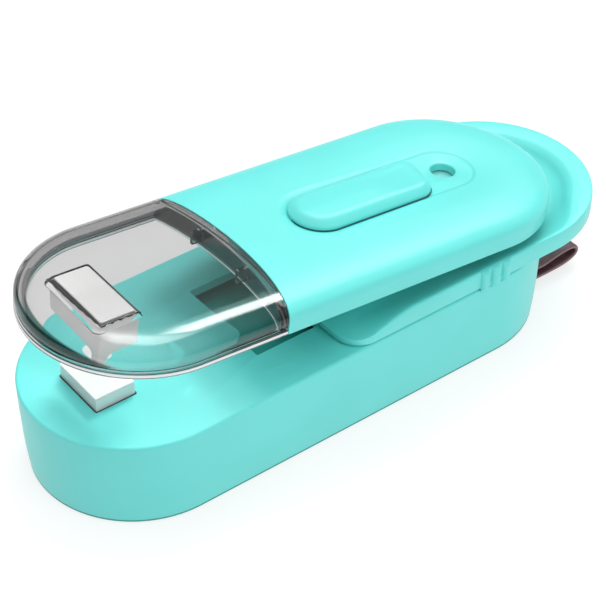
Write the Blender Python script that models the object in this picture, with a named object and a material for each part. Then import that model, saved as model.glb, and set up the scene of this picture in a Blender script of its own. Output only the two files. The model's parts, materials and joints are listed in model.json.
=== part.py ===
"""Handheld bag heat sealer.

A long base carries a heated block at its front end, a sprung arm with a clear head presses
the bag down on it, and a tray that slides between the two locks the arm shut. Two AAA
cells lie under the middle of the base, and a leather loop hangs from its rear end.

Run it with: blender --background --python part.py

Sizes are in millimetres, and put() turns them into metres. +X runs from the sealing head
to the hinge, +Z is up, and the origin is the centre of the base's bottom face. The arm's
pieces are drawn in the arm's own frame: x and y as when the arm is shut, z above its
bottom face. The arm is modelled open, as its spring holds it.
"""

import math

import bmesh
import bpy
from mathutils import Vector

MM = 0.001
GAP = 0.3
ARC_STEPS = 10  # steps in a quarter turn of a large outline

# Base
BASE_LENGTH = 117.0
WIDTH = 44.0
BASE_HEIGHT = 19.4
WALL = 2.0
DECK = 1.8
COVER = 1.4
REAR = BASE_LENGTH / 2
HALF = WIDTH / 2
DECK_BOTTOM = BASE_HEIGHT - DECK

# Heated block
BLOCK_X = (-48.6, -40.2)
BLOCK_HALF_Y = 6.15
BLOCK_TOP = BASE_HEIGHT + 3.0
BLOCK_TRAVEL = 0.8
CARRIER_FLOOR = 6.6

# Arm
ARM_X = (-57.7, 59.25)
ARM_HALF = 21.9
ARM_HEIGHT = 6.4
ARM_WALL_HEIGHT = 2.6  # straight part of the side wall
ARM_SKIN = 1.7
ARM_OPEN = 6.0  # degrees
PIVOT = (46.252, 0.0, 27.626)
PIVOT_IN_ARM = (46.0, 0.0, 2.2)
SEAM_X = -14.0
SEAM_BOW = 3.15
PRESS_X = (-49.0, -40.3)
PRESS_HALF = 8.6
PRESS_TOP = 5.15

# Lock slide
SLIDE_X = (-2.0, 71.9)
SLIDE_BOTTOM = BASE_HEIGHT + GAP
SLIDE_FLOOR = 21.1
SLIDE_RIM = 23.8
SLIDE_TRAVEL = 13.4
RUNNER_X = (-1.5, 17.0)
RUNNER_HALF_Y = 10.8
HOOK_X = (5.4, 8.6)

# Thumb slider
THUMB_X = (0.0, 33.0)
THUMB_HALF = 6.2
THUMB_TRAVEL = 7.5
TRACK_END = 43.5
TRACK_FLOOR = 5.4
LENS_X = 37.4
LENS_HOLE = 2.5

# Cells: AAA
CELL_RADIUS = 5.25
CELL_LENGTH = 44.5
CELL_Y = 5.5
CELL_Z = 7.1
TRAY_X = (1.6, 50.8)
TRAY_WALL = 1.2
DOOR_X = (3.2, 47.8)
DOOR_HALF = 11.3

# Strap
STRAP_PIN = (53.4, 0.0, 3.0)
STRAP_HALF = 10.0
STRAP_THICK = 0.9

# name: (colour, roughness, metallic)
LOOKS = {
    "turquoise": ((0.13, 0.72, 0.68), 0.38, 0.0),
    "clear": ((0.80, 0.86, 0.87), 0.08, 0.0),
    "white_film": ((0.93, 0.93, 0.88), 0.45, 0.0),
    "steel": ((0.70, 0.70, 0.69), 0.28, 1.0),
    "screw_steel": ((0.55, 0.55, 0.56), 0.35, 1.0),
    "silicone": ((0.82, 0.81, 0.78), 0.60, 0.0),
    "leather": ((0.10, 0.045, 0.04), 0.60, 0.0),
    "black_plastic": ((0.03, 0.03, 0.03), 0.50, 0.0),
    "board_green": ((0.02, 0.18, 0.08), 0.45, 0.0),
    "brass": ((0.72, 0.52, 0.22), 0.30, 1.0),
    "cell_sleeve": ((0.10, 0.11, 0.13), 0.35, 0.0),
    "wire_red": ((0.60, 0.03, 0.03), 0.45, 0.0),
    "wire_black": ((0.02, 0.02, 0.02), 0.45, 0.0),
    "lens": ((0.75, 0.95, 0.93), 0.20, 0.0),
}


# ---------------------------------------------------------------- tools


def clear_scene():
    for obj in list(bpy.data.objects):
        bpy.data.objects.remove(obj, do_unlink=True)


def look(name):
    """The material of this name, made once."""
    if name in bpy.data.materials:
        return bpy.data.materials[name]
    colour, roughness, metallic = LOOKS[name]
    made = bpy.data.materials.new(name)
    made.use_nodes = True
    shader = made.node_tree.nodes["Principled BSDF"]
    shader.inputs["Base Color"].default_value = (*colour, 1.0)
    shader.inputs["Roughness"].default_value = roughness
    shader.inputs["Metallic"].default_value = metallic
    if name == "clear":
        shader.inputs["Transmission Weight"].default_value = 0.9
    made.diffuse_color = (*colour, 1.0)
    return made


def axis_empty(name, place, tilt=0.0):
    """An empty on a joint's axis, turned about Y by tilt degrees."""
    empty = bpy.data.objects.new(name, None)
    empty.location = Vector(place) * MM
    empty.rotation_euler = (0.0, math.radians(tilt), 0.0)
    empty.empty_display_size = 5 * MM
    bpy.context.scene.collection.objects.link(empty)
    return empty


def put(name, bm, finish, place=(0, 0, 0), turn=(0, 0, 0), parent=None, sharp=35):
    """Makes an object of a mesh drawn in millimetres. turn is in degrees."""
    bmesh.ops.scale(bm, vec=(MM, MM, MM), verts=bm.verts)
    mesh = bpy.data.meshes.new(name)
    bm.to_mesh(mesh)
    bm.free()
    mesh.shade_smooth()
    mesh.set_sharp_from_angle(angle=math.radians(sharp))
    obj = bpy.data.objects.new(name, mesh)
    obj.location = Vector(place) * MM
    obj.rotation_euler = [math.radians(angle) for angle in turn]
    obj.parent = parent
    if finish:
        mesh.materials.append(look(finish))
    bpy.context.scene.collection.objects.link(obj)
    return obj


def combine(obj, other, operation):
    """Cuts other from obj, or joins it on, and hides it as a helper."""
    modifier = obj.modifiers.new(other.name, "BOOLEAN")
    modifier.operation = operation
    modifier.solver = "EXACT"
    modifier.object = other
    other.hide_render = True
    other.display_type = "WIRE"


def cut(obj, *cutters):
    for cutter in cutters:
        combine(obj, cutter, "DIFFERENCE")


def fuse(obj, *pieces):
    for piece in pieces:
        combine(obj, piece, "UNION")


def arc(centre_x, centre_y, radius, start, end, steps):
    angles = [math.radians(start + (end - start) * i / steps) for i in range(steps + 1)]
    return [(centre_x + radius * math.cos(a), centre_y + radius * math.sin(a)) for a in angles]


def end_arcs(x, half, radius, side, inset, steps):
    """The rounded end of an outline at x: one half circle, or two corners."""
    radius = max(radius - inset, 0.1)
    half -= inset
    middle = x - side * (inset + radius)
    first = 0 if side > 0 else 180
    spread = half - radius
    if spread < 1e-6:
        return arc(middle, 0, radius, first - 90, first + 90, 2 * steps)
    return arc(middle, -side * spread, radius, first - 90, first, steps) + arc(
        middle, side * spread, radius, first, first + 90, steps
    )


def outline(x, half, radii, inset=0.0, steps=ARC_STEPS):
    """A rectangle with rounded ends, counter-clockwise from above."""
    rear = end_arcs(x[1], half, radii[1], 1, inset, steps)
    return rear + end_arcs(x[0], half, radii[0], -1, inset, steps)


def rings(x, half, radii, path, steps=ARC_STEPS):
    """One ring of points for each (inset, z) of path, in from the same outline."""
    return [[(px, py, z) for px, py in outline(x, half, radii, inset, steps)] for inset, z in path]


def loft(points):
    """A closed mesh through rings of points, capped at both ends.

    The rings run counter-clockwise round the direction in which they follow each other.
    """
    bm = bmesh.new()
    rows = [[bm.verts.new(p) for p in ring] for ring in points]
    count = len(rows[0])
    for lower, upper in zip(rows, rows[1:]):
        for i in range(count):
            j = (i + 1) % count
            bm.faces.new((lower[i], lower[j], upper[j], upper[i]))
    bm.faces.new(reversed(rows[0]))
    bm.faces.new(rows[-1])
    return bm


def boxes(*corners):
    """One closed box for each ((x0, x1), (y0, y1), (z0, z1))."""
    bm = bmesh.new()
    for x, y, z in corners:
        corners_xy = zip((x[0], x[1], x[1], x[0]), (y[0], y[0], y[1], y[1]))
        low = [bm.verts.new((px, py, z[0])) for px, py in corners_xy]
        high = [bm.verts.new((v.co.x, v.co.y, z[1])) for v in low]
        bm.faces.new(reversed(low))
        bm.faces.new(high)
        for i in range(4):
            j = (i + 1) % 4
            bm.faces.new((low[i], low[j], high[j], high[i]))
    return bm


def both_sides(x, y, z):
    """The same box on the +Y and the -Y side."""
    return (x, y, z), (x, (-y[1], -y[0]), z)


def turned(profile, steps=12):
    """A turned solid about Z through the (radius, z) points of profile, bottom to top."""
    rows = []
    for radius, z in profile:
        rows.append([(x, y, z) for x, y in arc(0, 0, radius, 0, 360, steps)[:-1]])
    return loft(rows)


def peg(radius, low, high, steps=16):
    return turned(((radius, low), (radius, high)), steps)


def tube(path, radius, sides=6):
    """A round bar through points, square to its path at each."""
    rows = []
    for i, point in enumerate(path):
        before, after = Vector(path[max(i - 1, 0)]), Vector(path[min(i + 1, len(path) - 1)])
        along = (after - before).normalized()
        out = along.cross(Vector((0.0, 0.0, 1.0)))
        out = out.normalized() if out.length > 0.05 else Vector((1.0, 0.0, 0.0))
        across = along.cross(out)
        ring = []
        for k in range(sides):
            a = math.tau * k / sides
            ring.append(Vector(point) + radius * (math.cos(a) * out + math.sin(a) * across))
        rows.append(ring)
    return loft(rows)


def coil(radius, wire, length, turns, steps=10, sides=6, leg=0.0, tip_radius=None):
    """A helical spring about Z from its -Y side, with an optional straight leg towards -X.

    With a tip_radius it is a cone, wound from radius down to that.
    """
    centres = [(-leg, -radius, 0.0)] if leg else []
    narrowing = radius - tip_radius if tip_radius else 0.0
    for i in range(int(turns * steps) + 1):
        a = math.tau * (i / steps - 0.25)
        along = i / (turns * steps)
        reach = radius - narrowing * along
        centres.append((reach * math.cos(a), reach * math.sin(a), length * along))
    rows = []
    for i, centre in enumerate(centres):
        before, after = Vector(centres[max(i - 1, 0)]), Vector(centres[min(i + 1, len(centres) - 1)])
        along = (after - before).normalized()
        out = along.cross(Vector((0.0, 0.0, 1.0))).normalized()
        across = along.cross(out)
        corners = [math.tau * k / sides for k in range(sides)]
        rows.append([Vector(centre) + wire * (math.cos(a) * out + math.sin(a) * across) for a in corners])
    return loft(rows)


def screw(name, place, length, head, turn=(0, 0, 0), parent=None, shank=0.85):
    """A cross-head screw: its head's underside is at place, and its shank points to +Z."""
    radius, height = head
    profile = (
        (radius * 0.75, -height),
        (radius, -height * 0.6),
        (radius, 0.0),
        (shank, 0.0),
        (shank, length - 0.8),
        (shank * 0.4, length),
    )
    obj = put(name, turned(profile), "screw_steel", place, turn, parent)
    reach, arm = radius * 0.6, 0.22
    quarter = ((reach, -arm), (reach, arm), (arm, arm))
    corners = []
    for c, s in ((1, 0), (0, 1), (-1, 0), (0, -1)):
        corners += [(x * c - y * s, x * s + y * c) for x, y in quarter]
    cross = loft([[(x, y, z) for x, y in corners] for z in (-height - 1.0, -height * 0.45)])
    cut(obj, put(name + "_cross", cross, None, place, turn, parent))
    return obj


def smooth_step(t):
    t = min(max(t, 0.0), 1.0)
    return t * t * (3 - 2 * t)


# ---------------------------------------------------------------- base

COVER_SCREWS = [(x, side * 17.2) for x in (-34.0, 30.0) for side in (1, -1)]
NOTCH_HALF = STRAP_HALF + 0.5


def base_housing():
    path = [
        (3.2, DECK_BOTTOM),
        (WALL, DECK_BOTTOM - 1.0),
        (WALL, 0.0),
        (1.5, 0.0),
        (1.1, 0.25),
        (0.85, 0.8),
        (0.72, 1.6),
        (0.3, 8.0),
        (0.0, 18.2),
        (0.16, 18.8),
        (0.6, 19.24),
        (1.2, BASE_HEIGHT),
    ]
    ends = (-REAR, REAR)
    housing = put("base_housing", loft(rings(ends, HALF, (HALF, HALF), path)), "turquoise")
    for i, (x, y) in enumerate(COVER_SCREWS):
        boss = put(f"housing_boss_{i}", peg(2.4, COVER + GAP, DECK_BOTTOM + 0.5), None, (x, y, 0))
        fuse(housing, boss)
        cut(housing, put(f"boss_bore_{i}", peg(1.15, 0.5, 10.5), None, (x, y, 0)))
    openings = boxes(
        ((BLOCK_X[0] - 0.4, BLOCK_X[1] + 0.4), (-BLOCK_HALF_Y - 0.4, BLOCK_HALF_Y + 0.4), (16, 21)),
        ((RUNNER_X[0] - SLIDE_TRAVEL - 1.3, RUNNER_X[1] + 0.5), (-11.2, 11.2), (16, 21)),
        ((43.9, 48.6), (-4.5, 4.5), (16, 21)),
    )
    cut(housing, put("deck_openings", openings, None))
    notch = boxes(((50.0, 62.0), (-NOTCH_HALF, NOTCH_HALF), (-1.0, 7.9)))
    cut(housing, put("strap_notch", notch, None))
    pin_seat = peg(1.1, -11.6, 11.6)
    cut(housing, put("strap_pin_seat", pin_seat, None, STRAP_PIN, (-90, 0, 0)))
    for i, side in enumerate((1, -1)):
        cut(housing, put(f"bracket_bore_{i}", peg(1.0, 17.0, 19.1), None, (41.0, side * 6.5, 0)))


def bottom_cover():
    path = [(2.6, 0.0), (2.3, 0.3), (2.3, COVER)]
    cover = put("bottom_cover", loft(rings((-REAR, REAR), HALF, (HALF, HALF), path)), "turquoise")
    openings = boxes(
        ((DOOR_X[0] - 0.2, DOOR_X[1] + 0.2), (-DOOR_HALF - 0.2, DOOR_HALF + 0.2), (-1, 3)),
        ((51.4, 60.0), (-NOTCH_HALF, NOTCH_HALF), (-1, 3)),
    )
    cut(cover, put("cover_openings", openings, None))
    for i, (x, y) in enumerate(COVER_SCREWS):
        seat = turned(((2.2, -0.5), (2.2, 0.75), (1.15, 0.76), (1.15, 2.0)), 16)
        cut(cover, put(f"cover_screw_seat_{i}", seat, None, (x, y, 0)))
    posts = [(x, side * 10.0) for x in (-29.0, -8.0) for side in (1, -1)]
    for i, (x, y) in enumerate(posts):
        fuse(cover, put(f"board_post_{i}", peg(1.6, COVER - 0.5, 5.7, 10), None, (x, y, 0)))
    for i, (x, y) in enumerate(COVER_SCREWS):
        screw(f"cover_screw_{i + 1}", (x, y, 0.7), 9.0, (1.9, 0.55))


def battery_door():
    axis = axis_empty("battery_door_axis", (DOOR_X[0], 0, 0.1))
    plate = boxes(((0.0, DOOR_X[1] - DOOR_X[0]), (-DOOR_HALF, DOOR_HALF), (0.0, 1.1)))
    door = put("battery_door", plate, "turquoise", parent=axis)
    length = DOOR_X[1] - DOOR_X[0]
    grip = [((length - 6.0 + 1.6 * i, length - 5.2 + 1.6 * i), (-5.0, 5.0), (-1.0, 0.35)) for i in range(3)]
    cut(door, put("door_grip", boxes(*grip), None, parent=axis))


def battery_tray():
    x0, x1 = TRAY_X
    half, top, roof = 12.6, 13.4, 0.7
    tray = put("battery_tray", boxes(((x0, x1), (-half, half), (COVER + GAP, top))), "black_plastic")
    inside = ((x0 + TRAY_WALL, x1 - TRAY_WALL), (-half + TRAY_WALL, half - TRAY_WALL), (0, top - roof))
    windows = [((18.0, 34.0), (side - 2.5, side + 2.5), (5, 16)) for side in (-CELL_Y, CELL_Y)]
    cut(tray, put("tray_inside", boxes(inside), None), put("tray_windows", boxes(*windows), None))


def batteries():
    """Two AAA cells side by side, facing opposite ways, with their contacts and springs."""
    front, rear = TRAY_X[0] + TRAY_WALL + 0.1, TRAY_X[1] - TRAY_WALL - 0.1
    plate, nub = 0.3, 0.8
    body = CELL_LENGTH - nub
    profile = (
        (CELL_RADIUS - 0.5, 0.0),
        (CELL_RADIUS, 0.4),
        (CELL_RADIUS, body - 0.4),
        (CELL_RADIUS - 0.5, body),
        (1.9, body + 0.02),
        (1.9, CELL_LENGTH),
    )
    tip = 0.1 + plate
    spring_room = rear - front - 2 * plate - CELL_LENGTH - 0.1
    cells = (
        (1, front + tip + CELL_LENGTH, -90, rear - plate),
        (-1, rear - tip - CELL_LENGTH, 90, front + plate),
    )
    for i, (side, negative_end, turn, spring_end) in enumerate(cells):
        place = (negative_end, side * CELL_Y, CELL_Z)
        put(f"battery_{i + 1}", turned(profile, 20), "cell_sleeve", place, (0, turn, 0))
        end = (spring_end - 0.3 * side, side * CELL_Y, CELL_Z)
        spring = coil(3.4, 0.25, spring_room - 0.75, 2.0, 12, 5, tip_radius=1.8)
        put(f"battery_spring_{i + 1}", spring, "steel", end, (0, -90 * side, 0))
    side_y, height = (0.8, 10.2), (3.0, 11.2)
    flat = {
        "contact_positive": ((front, front + plate), side_y, height),
        "contact_negative": ((front, front + plate), (-side_y[1], -side_y[0]), height),
        "contact_bridge": ((rear - plate, rear), (-side_y[1], side_y[1]), height),
    }
    for name, corners in flat.items():
        put(name, boxes(corners), "brass")


def slide_guide():
    """The pan under the deck's long opening, which closes it off and gives the slide its room."""
    x, half = (RUNNER_X[0] - SLIDE_TRAVEL - 1.6, RUNNER_X[1] + 1.0), 14.0
    wall, floor = 1.0, 14.5
    top = DECK_BOTTOM - GAP
    pan = boxes(((x[0] - wall, x[1] + wall), (-half - wall, half + wall), (floor - 0.8, top)))
    guide = put("slide_guide", pan, "turquoise")
    cut(guide, put("guide_inside", boxes((x, (-half, half), (floor, top + 2.0))), None))


def circuit_board():
    x, y, z = (-33.0, -3.0), (-13.5, 13.5), (6.0, 7.2)
    board = put("circuit_board", boxes((x, y, z)), "board_green")
    holes = [((px - 0.8, px + 0.8), (py - 0.8, py + 0.8), (5, 9)) for px, py in ((-20, 11.5), (-20, -11.5))]
    cut(board, put("board_holes", boxes(*holes), None))
    chip = boxes(((-22.0, -14.0), (-3.0, 3.0), (z[1] + 0.2, z[1] + 1.6)))
    put("control_chip", chip, "black_plastic")
    can = turned(((2.3, 0), (2.5, 0.3), (2.5, 5.0), (2.2, 5.4)), 16)
    put("capacitor", can, "steel", (-10.0, 7.0, z[1] + 0.2))


def heater():
    """The block that floats on two springs, the holder under it, and the switch it presses."""
    wall = ((-52.3, -51.1), (-37.7, -36.5))
    half, top = 8.6, DECK_BOTTOM - GAP
    walls = [(x, (-half, half), (CARRIER_FLOOR - 0.2, top)) for x in wall]
    carrier = put(
        "heater_carrier",
        boxes(((wall[0][0], wall[1][1]), (-half, half), (CARRIER_FLOOR - 1.4, CARRIER_FLOOR))),
        "black_plastic",
    )
    for i, corners in enumerate(walls):
        fuse(carrier, put(f"carrier_wall_{i}", boxes(corners), None))
    middle = sum(BLOCK_X) / 2
    axis = axis_empty("heater_press_axis", (middle, 0, 0))
    length = (BLOCK_X[1] - BLOCK_X[0]) / 2
    flange = (14.6, 16.0)
    block = put(
        "heater_block",
        boxes(((-length, length), (-BLOCK_HALF_Y, BLOCK_HALF_Y), (flange[0] + 0.3, BLOCK_TOP - 0.4))),
        "steel",
        parent=axis,
    )
    rim = boxes(((-length - 1.6, length + 1.6), (-BLOCK_HALF_Y - 1.2, BLOCK_HALF_Y + 1.2), flange))
    fuse(block, put("block_flange", rim, None, parent=axis))
    reach = BLOCK_HALF_Y - 1.0
    groove = boxes(((-1.1, 1.1), (-reach - GAP, reach + GAP), (BLOCK_TOP - 0.9, BLOCK_TOP)))
    cut(block, put("element_groove", groove, None, parent=axis))
    element = boxes(((-0.8, 0.8), (-reach, reach), (BLOCK_TOP - 0.8, BLOCK_TOP - 0.45)))
    put("heating_element", element, "brass", parent=axis)
    film = boxes(((-length, length), (-BLOCK_HALF_Y, BLOCK_HALF_Y), (BLOCK_TOP - 0.35, BLOCK_TOP)))
    put("heater_film", film, "white_film", parent=axis)
    for i, side in enumerate((1, -1)):
        spring = coil(1.7, 0.3, flange[0] - CARRIER_FLOOR - 1.0, 4.5, 10, 5)
        put(f"heater_spring_{i + 1}", spring, "steel", (middle, side * 5.6, CARRIER_FLOOR + 0.5))
    switch_top, bore_floor = 12.6, 10.0
    body = boxes(((-3.0, 3.0), (-2.4, 2.4), (CARRIER_FLOOR + 0.2, switch_top)))
    switch = put("press_switch", body, "black_plastic", (middle, 0, 0))
    cut(switch, put("button_bore", peg(1.2, bore_floor, switch_top + 1.0), None, (middle, 0, 0)))
    button = peg(0.9, bore_floor + BLOCK_TRAVEL + 0.6, flange[0] - 0.1)
    put("switch_button", button, "silicone", parent=axis)


def leads():
    """Insulated wires from the cells and from the heater's holder to the board."""
    for i, side in enumerate((1, -1)):
        finish = "wire_red" if side > 0 else "wire_black"
        from_cells = ((1.2, 10.5), (-0.2, 10.8), (-2.5, 10.2), (-4.5, 8.6))
        put(f"battery_lead_{i + 1}", tube([(x, side * 4.0, z) for x, z in from_cells], 0.6), finish)
        from_holder = ((-36.1, 12.0), (-34.6, 12.2), (-32.4, 11.2), (-30.5, 9.4), (-29.5, 7.9))
        put(f"heater_lead_{i + 1}", tube([(x, side * 3.0, z) for x, z in from_holder], 0.6), finish)


def hinge():
    """The bracket that stands through the deck, its two screws and the arm's pin."""
    foot = boxes(((38.5, 53.0), (-9.0, 9.0), (15.9, DECK_BOTTOM - GAP)))
    bracket = put("hinge_bracket", foot, "steel")
    px, pz = PIVOT[0], PIVOT[2]
    post = boxes(((px - 2.0, px + 2.0), (-4.2, 4.2), (16.5, pz)))
    fuse(bracket, put("bracket_post", post, None))
    fuse(bracket, put("bracket_knuckle", peg(2.0, -4.2, 4.2, 20), None, PIVOT, (-90, 0, 0)))
    cut(bracket, put("pin_bore", peg(1.3, -6, 6, 24), None, PIVOT, (-90, 0, 0)))
    for i, side in enumerate((1, -1)):
        y = side * 6.5
        cut(bracket, put(f"bracket_hole_{i}", peg(1.05, 15, 18), None, (41.0, y, 0)))
        screw(f"bracket_screw_{i + 1}", (41.0, y, 15.8), 3.0, (1.6, 0.9), shank=0.75)
    pin = turned(((1.0, -11.6), (1.2, -11.4), (1.2, 11.4), (1.0, 11.6)), 24)
    put("hinge_pin", pin, "screw_steel", PIVOT, (-90, 0, 0))


# ---------------------------------------------------------------- lock slide


SLIDE_RADII = (5.5, HALF)


def slide_ring(inset, height, further=0.0):
    """A ring of the tray: height is a share of the rim, which fades out towards the front.

    Round the rear end the rim is wider, so the rings inside it are further in.
    """
    end_x = SLIDE_X[1] - HALF
    ring = []
    for x, y in outline(SLIDE_X, HALF, SLIDE_RADII, inset):
        if x > end_x:
            reach = math.hypot(x - end_x, y)
            share = (reach - further * smooth_step((x - end_x) / 14.0)) / reach
            x, y = end_x + (x - end_x) * share, y * share
        rim = (SLIDE_RIM - SLIDE_FLOOR) * smooth_step((x - SLIDE_X[0] - 0.5) / 15.0)
        ring.append((x, y, SLIDE_FLOOR + rim * height))
    return ring


def lock_slide(axis):
    bottom = rings(SLIDE_X, HALF, SLIDE_RADII, ((0.3, SLIDE_BOTTOM), (0.0, SLIDE_BOTTOM + 0.3)))
    wall = [slide_ring(0.0, 0.88), slide_ring(0.12, 0.97), slide_ring(0.4, 1.0)]
    slope = [
        slide_ring(0.9, 0.97, 3.2),
        slide_ring(1.9, 0.8, 3.1),
        slide_ring(3.6, 0.5, 2.3),
        slide_ring(5.2, 0.25, 1.6),
        slide_ring(6.6, 0.08, 1.2),
        slide_ring(7.8, 0.0, 0.8),
    ]
    tray = put("lock_slide", loft(bottom + wall + slope), "turquoise", parent=axis)
    runner = boxes((RUNNER_X, (-RUNNER_HALF_Y, RUNNER_HALF_Y), (DECK_BOTTOM - 0.1, 20.4)))
    fuse(tray, put("slide_runner", runner, None, parent=axis))
    stems = boxes(*both_sides((HOOK_X[0] + 0.4, HOOK_X[1] - 0.4), (9.5, 11.5), (20.6, 27.1)))
    heads = boxes(*both_sides(HOOK_X, (8.5, 12.5), (26.95, 28.0)))
    fuse(tray, put("hook_stems", stems, None, parent=axis), put("hook_heads", heads, None, parent=axis))
    ribs, skirts = [], []
    for i in range(3):
        x = (29.8 + 2.75 * i, 31.8 + 2.75 * i)
        ribs += both_sides(x, (21.3, 22.8), (20.1, 23.5))
        skirts += both_sides(x, (22.3, 22.79), (18.8, 20.5))
    fuse(tray, put("grip_ribs", boxes(*ribs), None, parent=axis))
    fuse(tray, put("grip_skirts", boxes(*skirts), None, parent=axis))
    post_slot = boxes(((42.0, 48.9 + SLIDE_TRAVEL), (-4.8, 4.8), (18, 24)))
    cut(tray, put("post_slot", post_slot, None, parent=axis))
    screws = [(sum(RUNNER_X) / 2, side * 6.0) for side in (1, -1)]
    for i, (x, y) in enumerate(screws):
        cut(tray, put(f"runner_bore_{i}", peg(1.0, 15, 20.0, 12), None, (x, y, 0), parent=axis))
    plate = boxes((RUNNER_X, (-13.4, 13.4), (15.9, 17.2)))
    retainer = put("slide_retainer", plate, "black_plastic", parent=axis)
    for i, (x, y) in enumerate(screws):
        cut(retainer, put(f"retainer_hole_{i}", peg(1.05, 15, 18, 12), None, (x, y, 0), parent=axis))
        screw(f"retainer_screw_{i + 1}", (x, y, 15.8), 3.9, (1.7, 0.9), parent=axis, shank=0.75)


# ---------------------------------------------------------------- arm

ARM_SCREWS = [(x, side * 16.5) for x in (-6.0, 30.0) for side in (1, -1)]


def in_arm(x=0.0, y=0.0, z=0.0):
    """A place in the arm's frame, from its pivot."""
    return (x - PIVOT_IN_ARM[0], y, z - PIVOT_IN_ARM[2])


def crown(share):
    """The arm's height where its outline has shrunk to this share of its half width."""
    rise = ARM_HEIGHT - ARM_WALL_HEIGHT
    return ARM_WALL_HEIGHT + rise * (1 - share**5.57) ** (1 / 2.72)


def arm_skin(ceiling):
    """The arm's whole outer skin, open underneath."""
    drop = ceiling - 4.7
    inner = [(7.0, 4.7), (4.2, 4.5), (2.7, 3.8), (2.0, 2.9), (ARM_SKIN, 1.6)]
    path = [(inset, z + drop) for inset, z in inner]
    path += [(ARM_SKIN, 0.0), (0.4, 0.0), (0.1, 0.12), (0.0, 0.4), (0.0, ARM_WALL_HEIGHT)]
    for share in (0.997, 0.987, 0.97, 0.94, 0.9, 0.84, 0.74, 0.5):
        path.append((ARM_HALF * (1 - share), crown(share)))
    return loft(rings(ARM_X, ARM_HALF, (ARM_HALF, ARM_HALF), path))


def seam_x(y):
    return SEAM_X - SEAM_BOW * (y / ARM_HALF) ** 2


def seam_block(front, shift):
    """A block with the seam's curve as one face, to cut away what is on the other side of it."""
    reach = 26.0
    far = -75.0 if front else 75.0
    count = 16
    curve = []
    for i in range(count + 1):
        y = -reach + 2 * reach * i / count
        curve.append((seam_x(y) + shift, y))
    corners = curve + [(far, reach), (far, -reach)]
    if not front:
        corners.reverse()
    return loft([[(x, y, z) for x, y in corners] for z in (-6.0, 12.0)])


def arm_shell(axis):
    shell = put("arm_shell", arm_skin(4.7), "turquoise", in_arm(), parent=axis)
    for i, (x, y) in enumerate(ARM_SCREWS):
        fuse(shell, put(f"arm_boss_{i}", peg(2.1, 1.5, 5.0), None, in_arm(x, y), parent=axis))
        cut(shell, put(f"arm_bore_{i}", peg(1.15, 0.5, 4.4), None, in_arm(x, y), parent=axis))
    cut(shell, put("shell_seam", seam_block(True, 0.0), None, in_arm(), parent=axis))
    half = THUMB_HALF + 0.3
    track = loft(rings((THUMB_X[0] - GAP, TRACK_END), half, (half, half), ((0, TRACK_FLOOR), (0, 8.0))))
    cut(shell, put("thumb_track", track, None, in_arm(), parent=axis))
    slot = boxes(((6.0, 18.8 + THUMB_TRAVEL), (-2.1, 2.1), (4, 7)))
    cut(shell, put("thumb_slot", slot, None, in_arm(), parent=axis))
    fuse(shell, put("lens_collar", peg(LENS_HOLE + 0.8, 3.95, 5.0, 24), None, in_arm(LENS_X), parent=axis))
    cut(shell, put("lens_hole", peg(LENS_HOLE, 3, 7, 24), None, in_arm(LENS_X), parent=axis))


def clear_head(axis):
    """The clear skin in front of the seam, and the curved wall that closes its rear end."""
    head = put("clear_head", arm_skin(4.95), "clear", in_arm(), parent=axis)
    cut(head, put("head_seam", seam_block(False, -0.2), None, in_arm(), parent=axis))
    half, thick, count = 20.4, 1.4, 24
    ys = [half * (2 * i / count - 1) for i in range(count + 1)]
    rear = [(seam_x(y) - GAP, y) for y in ys]
    front = [(x - thick, y) for x, y in reversed(rear)]
    wall = loft([[(x, y, z) for x, y in rear + front] for z in (0.3, 5.0)])
    fuse(head, put("head_rear_wall", wall, None, in_arm(), parent=axis))
    room, side = 0.35, PRESS_HALF + 0.35
    pocket = boxes(((PRESS_X[0] - room, PRESS_X[1] + room), (-side, side), (3.0, PRESS_TOP + 0.55)))
    cut(head, put("press_pocket", pocket, None, in_arm(), parent=axis))


def arm_bottom_plate(axis):
    x = (HOOK_X[0] - SLIDE_TRAVEL - 2.0, ARM_X[1] - ARM_SKIN - GAP)
    half = ARM_HALF - ARM_SKIN - GAP
    path = ((0.2, 0.0), (0.0, 0.2), (0.0, 1.2))
    flat = loft(rings(x, half, (1.5, half), path))
    plate = put("arm_bottom_plate", flat, "turquoise", in_arm(), parent=axis)
    for i, y in enumerate((6.5, -6.5)):
        ear = put(f"plate_ear_{i}", peg(2.3, -1.5, 1.5, 20), None, in_arm(46.0, y, 2.2), (-90, 0, 0), axis)
        fuse(plate, ear)
    cut(plate, put("ear_bore", peg(1.3, -9, 9, 24), None, in_arm(46.0, 0, 2.2), (-90, 0, 0), axis))
    keyhole = (HOOK_X[0] - 0.8, HOOK_X[1] + 1.0)
    openings = boxes(
        ((43.3, 48.9), (-4.7, 4.7), (-2, 3)),
        *both_sides((43.3, 48.9), (8.3, 11.8), (-2, 3)),
        *both_sides(keyhole, (8.1, 12.9), (-2, 3)),
    )
    tracks = boxes(*both_sides((HOOK_X[0] - SLIDE_TRAVEL - 0.5, keyhole[0] + GAP), (9.15, 11.85), (-2, 3)))
    cut(plate, put("plate_openings", openings, None, in_arm(), parent=axis))
    cut(plate, put("hook_tracks", tracks, None, in_arm(), parent=axis))
    for i, (sx, sy) in enumerate(ARM_SCREWS):
        seat = turned(((2.1, -0.5), (2.1, 0.6), (1.15, 0.61), (1.15, 2.0)), 12)
        cut(plate, put(f"arm_screw_seat_{i}", seat, None, in_arm(sx, sy), parent=axis))
        screw(f"arm_screw_{i + 1}", in_arm(sx, sy, 0.55), 3.4, (1.8, 0.45), parent=axis, shank=0.8)


def hinge_spring(axis):
    spring = coil(1.75, 0.3, 2.6, 3.0, 12, 6, leg=9.0)
    put("hinge_spring", spring, "steel", in_arm(46.0, 8.75, 2.2), (-90, 0, 0), axis)


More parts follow.
